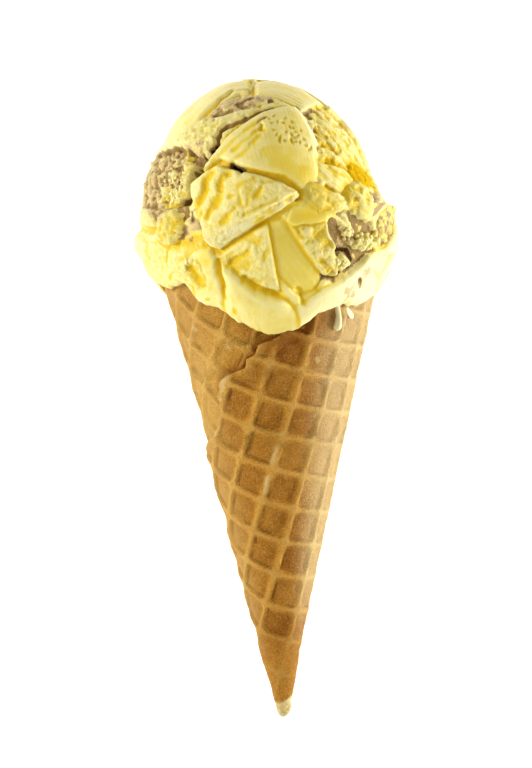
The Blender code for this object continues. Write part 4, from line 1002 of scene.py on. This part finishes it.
def foldedRelief(direction):
    # each fold covers what is under it up to a rounded lip and leaves a groove along its edge;
    # crumb rides on its own surface, and cuts, ripple and pores go in last. Also how tan, rough
    # and yellow each point is: the yellow is painted shade, pale below 0 as a painted highlight,
    # and tan above 1 is a painted shadow in holes and dark creases
    points = direction * scoop["mapRadius"]
    maps = {side: ballMap(direction, side) for side in ("front", "back")}
    slow = np.stack([fractal(points, 6.0, 2, 1), fractal(points, 6.0, 2, 4)], axis=-1)
    quick = np.stack([fractal(points, 1.7, 2, 7), fractal(points, 1.7, 2, 9)], axis=-1)
    crumb = (0.5 * lumps(points, 2.6, 60) + 0.45 * lumps(points, 1.3, 70)
             + 0.3 * fractal(points, 1.1, 2, 80)) - 0.42
    strength = 0.65 + 0.5 * noise(points, 5.0, 90)
    height = 0.35 * fractal(points, 16.0, 2, 100) + 0.1 * crumb
    tan, yellow = np.zeros((2, len(points)))
    rough = np.full(len(points), 0.15)
    for one in folds:
        where = maps[one["side"]] + one["ragged"] * (0.6 * slow + 0.6 * quick)
        inside = depthInside(where, one["outline"])
        fromMiddle = maps[one["side"]] - np.mean(one["outline"], axis=0)
        if one["under"]:
            depth, width, angle = one["under"]
            groove = (np.exp(-(np.minimum(inside, 0.0) / width) ** 2)
                      * smooth(0.5 + turnedAcross(fromMiddle, angle) / 6))
            height -= depth * groove
            # painted shade: the groove is painted yellower
            yellow = gilded(yellow, scoop["groovePaintedShade"], groove * (inside < 0))
        rim = np.clip((-inside if one["sunk"] else inside) / one["lip"], 0.0, 1.0)
        cover = np.sqrt(np.clip(1.0 - (1.0 - rim) ** 2, 0.0, 1.0))
        if one["sunk"]:
            cover = 1.0 - cover
        on = cover > 0
        own, paintedShading = ownSurface(one, where[on], fromMiddle[on], np.maximum(inside[on], 0.0),
                               slow[on], strength[on])
        own += 0.8 * one["rough"] * crumb[on]
        for kept, new in ((yellow, paintedShading), (height, own), (tan, one["tan"]),
                          (rough, min(one["rough"], 1.0))):
            kept[on] += (new - kept[on]) * cover[on]
    front, paintedShadows = maps["front"], []
    # the yellower cuts, painted shade, come and go along their routes
    patchy = 0.5 + 0.6 * smooth(0.7 + 1.1 * noise(points, 2.4, 95))
    for width, depth, paintedShading, route in cuts:
        away = fromRoute(front + 0.3 * quick + 0.4 * slow, route) / width
        if 0.4 <= paintedShading <= 1.0:
            away, paintedShading, depth = away / patchy, paintedShading * patchy, depth * patchy
        height -= depth * np.exp(-away ** 2) * strength
        if np.min(paintedShading) >= 0:
            yellow = gilded(yellow, paintedShading, np.exp(-(away / 1.3) ** 2))
        else:
            paintedShadows.append(-paintedShading * np.exp(-away ** 2))
    for amount, soft, outline in ripples:
        inside = depthInside(front + 1.1 * slow + 1.1 * quick, outline)
        tan += (amount - tan) * smooth(inside / soft + 0.5)
    # painted shadow: the dark cuts are carried on the tan, above 1, where the material turns them
    # near black
    tan = np.maximum(tan, 2.0 * np.max(paintedShadows, axis=0))
    for pore in pores:
        across, up, wide, deep = (*pore, *plainPore)[:4]
        offset = front - (across, up)
        near = np.abs(offset).max(axis=1) < 4 * wide
        moved = offset[near] + 0.6 * quick[near] * wide
        angle = 50 + 60 * across
        away = (turnedAcross(moved, angle) / 1.7) ** 2 + turnedAcross(moved, angle + 90) ** 2
        dip = np.exp(-(away / wide ** 2) ** 1.5)
        height[near] -= deep * dip
        # painted shade: the pores are painted yellower
        yellow[near] = gilded(yellow[near], scoop["groovePaintedShade"], dip)
    return height, tan, rough, yellow


def scoopRadius(angle, azimuth):
    # the plain scoop, blended round the axis between its four sides
    profiles = [evened(scoop[side], scoop["angles"], 5)
                for side in ("front", "right", "back", "left", "front")]
    radii = np.stack([np.interp(np.degrees(angle), *profile) for profile in profiles])
    quarter = (azimuth / (math.pi / 2)) % 4
    first = np.minimum(quarter.astype(int), 3)
    share = smooth(quarter - first)
    which = np.arange(len(azimuth))
    return radii[first, which] * (1 - share) + radii[first + 1, which] * share


def skirtEdge(azimuth):
    # lower edge of the skirt, a wavy line round the cone
    azimuths, heights = (np.array(column, float) for column in zip(*scoop["skirt"]))
    smoothed = sum(np.interp(np.degrees(azimuth) + step, azimuths, heights, period=360)
                   for step in (-2, -1, 0, 1, 2)) / 5
    ring = threes(27 * np.sin(azimuth), 27 * np.cos(azimuth), 0)
    return smoothed + 0.5 * fractal(ring, 4.0, 3, 120) + 0.25 * noise(ring, 0.9, 125)


def clearance(azimuth, height):
    # how far the ice cream's inner face keeps off the mean cone, clear of the rolled sheet
    pastEdge = (azimuth - freeEdge(height)) % fullTurn
    near = smooth(1.0 - (fullTurn - pastEdge) / scoop["edgeMargin"])
    offset = sheetOffset(pastEdge, height)
    return scoop["gap"] + np.maximum(offset, near * (roll["step"] / 2 + roll["lift"]))


def outerPoints(azimuth, angle):
    # the folded surface: reach from the ball's middle along each direction, never inside the
    # cone's own face and rounded down to it at the skirt's edge
    azimuth, angle = azimuth.ravel(), angle.ravel()
    edgeHeight = skirtEdge(azimuth)
    gap = clearance(azimuth, np.minimum(edgeHeight, roll["rim"]))
    edgeAngle = np.arctan2(coneRadius(edgeHeight) + gap, edgeHeight - scoop["middle"])
    direction = threes(np.sin(angle) * np.sin(azimuth), np.sin(angle) * np.cos(azimuth),
                       np.cos(angle))
    reach = coneRadius(scoop["middle"]) + gap
    onCone = reach / np.maximum(np.sin(angle) - coneTan * np.cos(angle), 0.3)
    fromEdge = np.clip((edgeAngle - angle) / scoop["edgeRounding"], 0.0, 1.0)
    rounding = np.sqrt(1.0 - (1.0 - fromEdge) ** 2)
    settled = smooth((edgeAngle - angle) / scoop["foldsFade"])
    height, tan, rough, yellow = foldedRelief(direction)
    outer = scoopRadius(angle, azimuth) + height * settled
    outer = np.where(angle > scoop["skirtAbove"], np.maximum(outer, onCone + scoop["leastCover"]),
                     outer)
    radius = onCone + (outer - onCone) * rounding
    ball = direction * radius[:, None]
    return ball, height, tan, rough, yellow


def blurred(grid, down, across):
    # mean over a window of rows and columns, the columns ringed
    for size, axis in ((down, 0), (across, 1)):
        mode = "edge" if axis == 0 else "wrap"
        pad = [(size, size), (0, 0)] if axis == 0 else [(0, 0), (size, size)]
        total = np.cumsum(np.pad(grid, pad, mode=mode), axis=axis)
        total = np.concatenate([np.zeros_like(np.take(total, [0], axis)), total], axis)
        window = 2 * size + 1
        length = grid.shape[axis]
        grid = (np.take(total, np.arange(window, window + length), axis)
                - np.take(total, np.arange(length), axis)) / window
    return grid


def iceCreamSurface():
    # up the plug inside the cone, over the rim, down to the skirt's edge, then the folded outside
    # from that edge up to the top of the ball
    share = np.linspace(-1, 1, scoop["frontColumns"], endpoint=False)
    front = 100 * (0.76 * share + 0.24 * share ** 3)
    back = np.linspace(100, 260, scoop["backColumns"], endpoint=False)
    azimuth = np.radians(np.concatenate([front, back]))
    overRim = roll["rim"] + scoop["gap"]
    inside = []
    for height in (*scoop["plugHeights"], overRim):
        radius = coneRadius(height) - roll["lining"] - scoop["gap"] - scoop["plugSlack"]
        inside.append(around(azimuth, radius, height))
    edgeHeight = skirtEdge(azimuth)
    for share in scoop["overhang"]:
        height = overRim + (edgeHeight - overRim) * share
        edgeRadius = coneRadius(height) + clearance(azimuth, np.minimum(height, roll["rim"]))
        inside.append(around(azimuth, edgeRadius, height))
    edgeAngle = np.arctan2(edgeRadius, edgeHeight - scoop["middle"])

    share = np.linspace(0, 1, scoop["outsideRows"] + 1)[1:-1, None]
    angle = edgeAngle * (1.0 - (0.35 * share ** 2 + 0.65 * share))
    ball, *values = outerPoints(azimuth + 0 * angle, angle)
    outside = place(ball[:, 0], ball[:, 1], scoop["middle"] + ball[:, 2]).reshape(*angle.shape, 3)
    height, tan, rough, yellow = (value.reshape(angle.shape) for value in values)
    # how far a point lies below its surroundings, near and wide, for the painted shade in the
    # hollows
    values = {"tan": tan, "rough": rough, "yellow": yellow,
              "hollow": blurred(blurred(height, 3, 3), 3, 3) - height,
              "wide": blurred(blurred(height, 14, 12), 14, 12) - height}
    blank = np.zeros((len(inside), len(azimuth)))
    values = {label: np.concatenate([blank, value])[None] for label, value in values.items()}
    points = np.concatenate([np.stack(inside), outside])
    return bandMesh("folded_scoop", points[None], place(0, 0, scoop["plugFloor"])[None],
                    outside[-1].mean(axis=0)[None], values)


creamTones = {
    "scoop": (0.84, 0.745, 0.33),
    "crumbs": (0.92, 0.83, 0.37),
    "melt": (0.80, 0.72, 0.44),
    "deep": (0.79, 0.645, 0.14),         # painted shade in the hollows, richer and richer
    "deeper": (0.80, 0.57, 0.020),
    "golden": (0.60, 0.38, 0.001),
    "pale": (0.88, 0.81, 0.48),          # a painted highlight where a fold's yellow is below 0
    # painted shade: the tan in the hollows
    "shadedTan": (0.37, 0.24, 0.080),
    "tan": (0.71, 0.55, 0.26),
    # painted shadow in holes and dark creases
    "hole": (0.06, 0.026, 0.004),
    "flecks": (0.84, 0.78, 0.46),
}


def iceCreamMaterial(name, tone, scatter=0.0):
    # cream on the raised parts, richer yellow in the hollows as painted shade, near black in holes
    # as painted shadow, pale on lit faces as a painted highlight, tan ripple darker in its hollows
    # as painted shade, crumbly where torn
    material, tree, shader, where = newMaterial(name)
    tan, rough = attribute(tree, "tan"), attribute(tree, "rough")
    golden, sunk = attribute(tree, "yellow"), attribute(tree, "hollow")
    fine = grain(where, 0.55, 3.0, 0.7)
    wide = rangeOf(attribute(tree, "wide"), 0.2, 2.6, 0.0, 0.35)
    # painted shade: how deep in shade a point is painted, from the fold's yellow and the hollows
    deep = plus(times(golden, 0.8), plus(rangeOf(sunk, -0.30, 0.60), wide))
    deep = plus(deep, about(grain(where, 6.0), 0.5))
    deep = plus(deep, about(fine, plus(rough, 0.25)), True)
    colour = mixColour(rangeOf(deep, 0.0, 0.5), creamTones[tone], creamTones["deep"])
    # painted shade: the tan is darker in the hollows and reaches further into them
    toned = joined("SUBTRACT", times(fine, 0.6), sunk)
    brown = mixColour(rangeOf(toned, 0.0, 0.6), creamTones["shadedTan"], creamTones["tan"])
    streaks = addNode(tree, "ShaderNodeMapping", Vector=where, Scale=(1.0, 0.35, 1.0)).outputs[0]
    tanEdge = plus(about(fine, 0.9), about(grain(streaks, 3.0, 3.0, 0.6), 0.8))
    tanEdge = plus(tanEdge, rangeOf(sunk, -0.3, 0.3, -0.3, 0.4))
    tanShare = times(rangeOf(plus(tan, tanEdge), 0.35, 0.70), rangeOf(tan, 0.0, 0.15))
    flecks = times(rangeOf(grain(where, 0.6, 2.0), 0.58, 0.72),
                   times(rough, rangeOf(deep, 0.2, 0.6, 1.0, 0.0)))
    # painted shade in deeper and golden yellows, a painted highlight, the tan, a painted shadow in
    # holes, flecks
    for share, over in (
            (rangeOf(deep, 0.4, 1.1), creamTones["deeper"]),
            (rangeOf(golden, 1.0, 1.4), creamTones["golden"]),
            (rangeOf(golden, -1.2, -0.1, 1.0, 0.0), creamTones["pale"]),
            (tanShare, brown),
            (rangeOf(tan, 1.05, 1.7), creamTones["hole"]),
            (times(flecks, 0.6), creamTones["flecks"])):
        colour = mixColour(share, colour, over)
    gloss = times(rangeOf(golden, 0.9, 1.3, 0.35, 0.03), rangeOf(tan, 0.9, 1.4, 1.0, 0.1))
    for socket, value in (
            ("Base Color", colour), ("Roughness", rangeOf(rough, 0.0, 1.0, 0.36, 0.62)),
            ("Specular IOR Level", gloss), ("Sheen Weight", rangeOf(golden, 0.9, 1.3, 0.1, 0.0))):
        tree.links.new(value, shader.inputs[socket])
    bumped(tree, shader, times(plus(fine, grain(where, 1.4, 2.0, 0.6)), plus(rough, 0.16)),
           0.75, 0.00065)
    shader.inputs["Subsurface Weight"].default_value = scatter
    shader.inputs["Subsurface Radius"].default_value = (1.0, 0.85, 0.35)
    shader.inputs["Subsurface Scale"].default_value = 0.0009
    shader.inputs["Sheen Roughness"].default_value = 0.5
    return material


# Loose crumbs on the torn parts: middle and spread over the surface, how many, size, share of tan
crumbs = {
    "heaps": [
        ((27.7, -14.6), (2.6, 1.3), 46, (0.6, 1.1), 0.0),
        ((18.8, -18.4), (1.0, 1.0), 10, (0.5, 0.9), 0.0),
        ((21.0, -12.0), (1.6, 1.4), 14, (0.4, 0.8), 0.6),
        ((-26.0, 4.0), (1.2, 3.2), 18, (0.5, 0.9), 0.1),
        ((-33.0, 5.0), (3.0, 4.0), 22, (0.4, 0.8), 0.6),
        ((-31.5, 0.6), (1.8, 1.2), 14, (0.5, 0.9), 0.0),
        ((-21.5, -18.6), (1.2, 1.0), 5, (0.4, 0.7), 0.0),
    ],
    "rows": 5,
    "columns": 7,
    "reach": 1.6,          # of a heap, in spreads
    "growth": 1.7,
    "squash": (0.7, 1.15),
    "tilt": 0.7,
    "bumps": 0.28,
    "raised": 0.12,        # the middle stands this share of the size over the surface
}


def overScoop(where):
    # the point of the folded surface at a place on the front map, and its direction
    length = np.maximum(np.hypot(where[:, 0], where[:, 1]), 1e-6)
    turn = length / scoop["mapRadius"]
    direction = threes(np.sin(turn) * where[:, 0] / length, np.cos(turn),
                       np.sin(turn) * where[:, 1] / length)
    azimuth = np.arctan2(direction[:, 0], direction[:, 1])
    return outerPoints(azimuth, np.arccos(direction[:, 2]))[0], direction


def crumbSurface():
    # small uneven balls, each squashed and tilted a little and half sunk in the surface
    draw = np.random.default_rng(11)
    where, size, tan = [], [], []
    for middle, spread, count, sizes, brown in crumbs["heaps"]:
        turn = draw.uniform(0, fullTurn, count)
        far = np.sqrt(draw.uniform(0, 1, count)) * crumbs["reach"]
        scattered = np.stack([np.cos(turn) * far, np.sin(turn) * far], -1)
        where.append(np.array(middle) + scattered * spread)
        size.append(crumbs["growth"] * draw.uniform(*sizes, count))
        tan.append((draw.uniform(0, 1, count) < brown) * 1.0)
    where, size, tan = np.concatenate(where), np.concatenate(size), np.concatenate(tan)
    seat, direction = overScoop(where)
    count = len(size)
    polar = np.linspace(0, math.pi, crumbs["rows"] + 2)[1:-1, None]
    turn = -np.linspace(0, fullTurn, crumbs["columns"], endpoint=False)[None, :]
    ball = threes(np.sin(polar) * np.cos(turn), np.sin(polar) * np.sin(turn), -np.cos(polar))
    poles = np.array([[[0, 0, -1.0], [0, 0, 1.0]]])
    squash = draw.uniform(*crumbs["squash"], (count, 1, 1, 3))
    tilt = draw.uniform(-crumbs["tilt"], crumbs["tilt"], (count, 1, 1))

    def settled(shape):
        x, y, z = np.moveaxis(np.broadcast_to(shape, (count, *shape.shape)) * squash, -1, 0)
        cosine, sine = np.cos(tilt), np.sin(tilt)
        tilted = threes(x * cosine - z * sine, y, x * sine + z * cosine)
        apart = 9.1 * np.arange(count)[:, None, None, None]
        bumpy = 1 + crumbs["bumps"] * noise(tilted * 1.3 + apart, 1.0, 150)
        grown = tilted * (0.5 * size)[:, None, None, None] * bumpy[..., None]
        middle = seat + direction * (crumbs["raised"] * size)[:, None]
        spot = grown + middle[:, None, None, :]
        return place(spot[..., 0], spot[..., 1], scoop["middle"] + spot[..., 2])

    skin, ends = settled(ball), settled(poles)[:, 0]
    outward = place(*direction.T) - place(0, 0, 0)
    outward = outward / np.linalg.norm(outward, axis=1)[:, None]
    fromMiddle = skin - skin.mean(axis=(1, 2))[:, None, None]
    raised = (fromMiddle * outward[:, None, None]).sum(axis=-1) / mm
    full = np.ones(skin.shape[:3])
    # painted shade: each crumb's underside gets the hollows' richer yellow and its top the paler
    # cream
    values = {"tan": full * tan[:, None, None], "rough": full * 0.5, "hollow": 0.1 - 1.1 * raised}
    return bandMesh("loose_crumbs", skin, ends[:, 0], ends[:, 1], values)


# Melted runs on the waffle: azimuth, height, half width and thickness along each
melted = {
    "runs": {
        "drip_on_the_waffle": [(38.5, 117.2, 1.1, 0.9), (39.2, 115.4, 0.65, 0.75),
                               (40.6, 113.4, 0.6, 0.8), (41.2, 111.6, 0.9, 1.1),
                               (41.0, 110.0, 1.05, 1.25), (40.9, 108.9, 0.75, 0.9)],
        "smear_on_the_waffle": [(46.5, 115.4, 0.4, 0.15), (48.5, 114.2, 0.7, 0.2),
                                (51.5, 113.2, 0.8, 0.2), (54.0, 112.6, 0.5, 0.15)],
    },
    "rows": 26,
    "columns": 18,
    "coneRadius": 28,      # of the cone near them
    "wobble": 0.15,
}


def runSurface(name, stations):
    # an oval swept down the cone's face, wider and thicker where the melt gathers, its ends round
    share = np.linspace(0, 1, melted["rows"])
    at = np.linspace(0, 1, len(stations))
    azimuth, height, half, thick = (np.interp(share, at, column) for column in zip(*stations))
    ends = np.sqrt(np.clip(1 - (2 * share - 1) ** 8, 0, 1)) + 0.05
    azimuth = np.radians(azimuth)
    along = np.gradient(np.stack([azimuth * melted["coneRadius"], height], axis=-1), axis=0)
    along /= np.linalg.norm(along, axis=1, keepdims=True)
    turn = np.linspace(0, fullTurn, melted["columns"], endpoint=False)
    wobble = 1 + melted["wobble"] * noise(threes(share * 9, 0, 0), 1.0, 160)
    across = (half * ends * wobble)[:, None] * np.cos(turn)
    out = (thick * ends)[:, None] * np.sin(turn)
    height = height[:, None] + along[:, :1] * across
    azimuth = azimuth[:, None] - along[:, 1:] * across / melted["coneRadius"]
    pastEdge = (azimuth - freeEdge(height)) % fullTurn
    points = around(azimuth, coneRadius(height) + sheetOffset(pastEdge, height) + out, height)
    first, last = points[0].mean(axis=0), points[-1].mean(axis=0)
    full = np.ones((1, *height.shape))
    return bandMesh(name, points[None], first[None], last[None],
                    {"rough": full * 0.0, "hollow": full * -0.2})


iceCream = iceCreamMaterial("rippled yellow ice cream", "scoop", 0.42)
looseBits = iceCreamMaterial("loose bits of ice cream", "crumbs")
melt = iceCreamMaterial("melted ice cream", "melt")
finishPiece(iceCreamSurface(), "ice_cream", iceCream)
finishPiece(crumbSurface(), "ice_cream", looseBits)
for name, stations in melted["runs"].items():
    finishPiece(runSurface(name, stations), "ice_cream", melt)
finishPiece(waffleSurface(), "waffle_cone", waffleMaterial())

# Floor, light and camera

studio = {
    "cameraAlong": 608.0,
    "target": (-1.9, 0.0, 95.0),
    "rollOfView": math.radians(1.86),
    "lens": 100.0,
    "floorSize": 14.0,
    "floorTone": (0.93, 0.94, 0.96),
    "floorPaleTone": (0.95, 0.96, 0.98),
    "floorGlow": 0.55,
    "boxes": {             # place in the cone's own directions, size in m, power
        "left box": ((-470, 250, 165), (0.24, 0.24), 1.75),
        "right box": ((470, 5, 95), (0.5, 0.09), 2.7),
        "top box": ((0, 300, 480), (0.4, 0.3), 0.4),
        "low box": ((-60, 380, -140), (0.3, 0.3), 0.5),
    },
    "boxesAimAt": (0, 0, 115),
    "skyTone": (1, 0.93, 0.68, 1),
    "skyStrength": 0.24,
}


def buildFloor():
    half = studio["floorSize"] / 2
    mesh = bpy.data.meshes.new("floor")
    mesh.from_pydata([(-half, -half, 0), (half, -half, 0), (half, half, 0), (-half, half, 0)], [],
                     [(0, 1, 2, 3)])
    floor = bpy.data.objects.new("floor", mesh)
    bpy.context.scene.collection.objects.link(floor)
    material, tree, shader, where = newMaterial("pale floor")
    shade = mixColour(grain(where, 120.0, 2.0), studio["floorTone"], studio["floorPaleTone"])
    tree.links.new(shade, shader.inputs["Base Color"])
    shader.inputs["Roughness"].default_value = 0.8
    shader.inputs["Emission Color"].default_value = (1, 1, 1, 1)
    shader.inputs["Emission Strength"].default_value = studio["floorGlow"]
    mesh.materials.append(material)


def softBox(name, spot, size, power):
    # an area light aimed at the scoop
    lamp = bpy.data.lights.new(name, "AREA")
    lamp.shape = "RECTANGLE"
    lamp.size, lamp.size_y = size
    lamp.energy = power
    light = bpy.data.objects.new(name, lamp)
    bpy.context.scene.collection.objects.link(light)
    light.location = Vector(placeFree(*spot))
    aim = Vector(placeFree(*studio["boxesAimAt"])) - light.location
    light.rotation_euler = aim.to_track_quat("-Z", "Y").to_euler()


def buildCamera():
    # looks at the target from straight over the shown side, turned by the roll of the view
    ways = [placeFree(*way) - placeFree(0, 0, 0) for way in ((0, 1, 0), (0, 0, 1))]
    toViewer, along = (way / np.linalg.norm(way) for way in ways)
    across = np.array([1.0, 0, 0])
    cosine, sine = math.cos(studio["rollOfView"]), math.sin(studio["rollOfView"])
    lens = bpy.data.cameras.new("camera")
    lens.lens = studio["lens"]
    camera = bpy.data.objects.new("camera", lens)
    bpy.context.scene.collection.objects.link(camera)
    axes = [across * cosine - along * sine, along * cosine + across * sine, toViewer]
    matrix = Matrix(np.stack(axes, -1).tolist()).to_4x4()
    spot = placeFree(*studio["target"]) + toViewer * studio["cameraAlong"] * mm
    matrix.translation = Vector(spot)
    camera.matrix_world = matrix
    bpy.context.scene.camera = camera


buildFloor()
for name, (spot, size, power) in studio["boxes"].items():
    softBox(name, spot, size, power)
world = bpy.data.worlds.new("studio")
bpy.context.scene.world = world
world.use_nodes = True
sky = world.node_tree.nodes["Background"]
sky.inputs["Color"].default_value = studio["skyTone"]
sky.inputs["Strength"].default_value = studio["skyStrength"]
bpy.context.scene.view_settings.view_transform = "Standard"
bpy.context.scene.view_settings.look = "Medium High Contrast"
buildCamera()
print("floor, lights and camera in place")
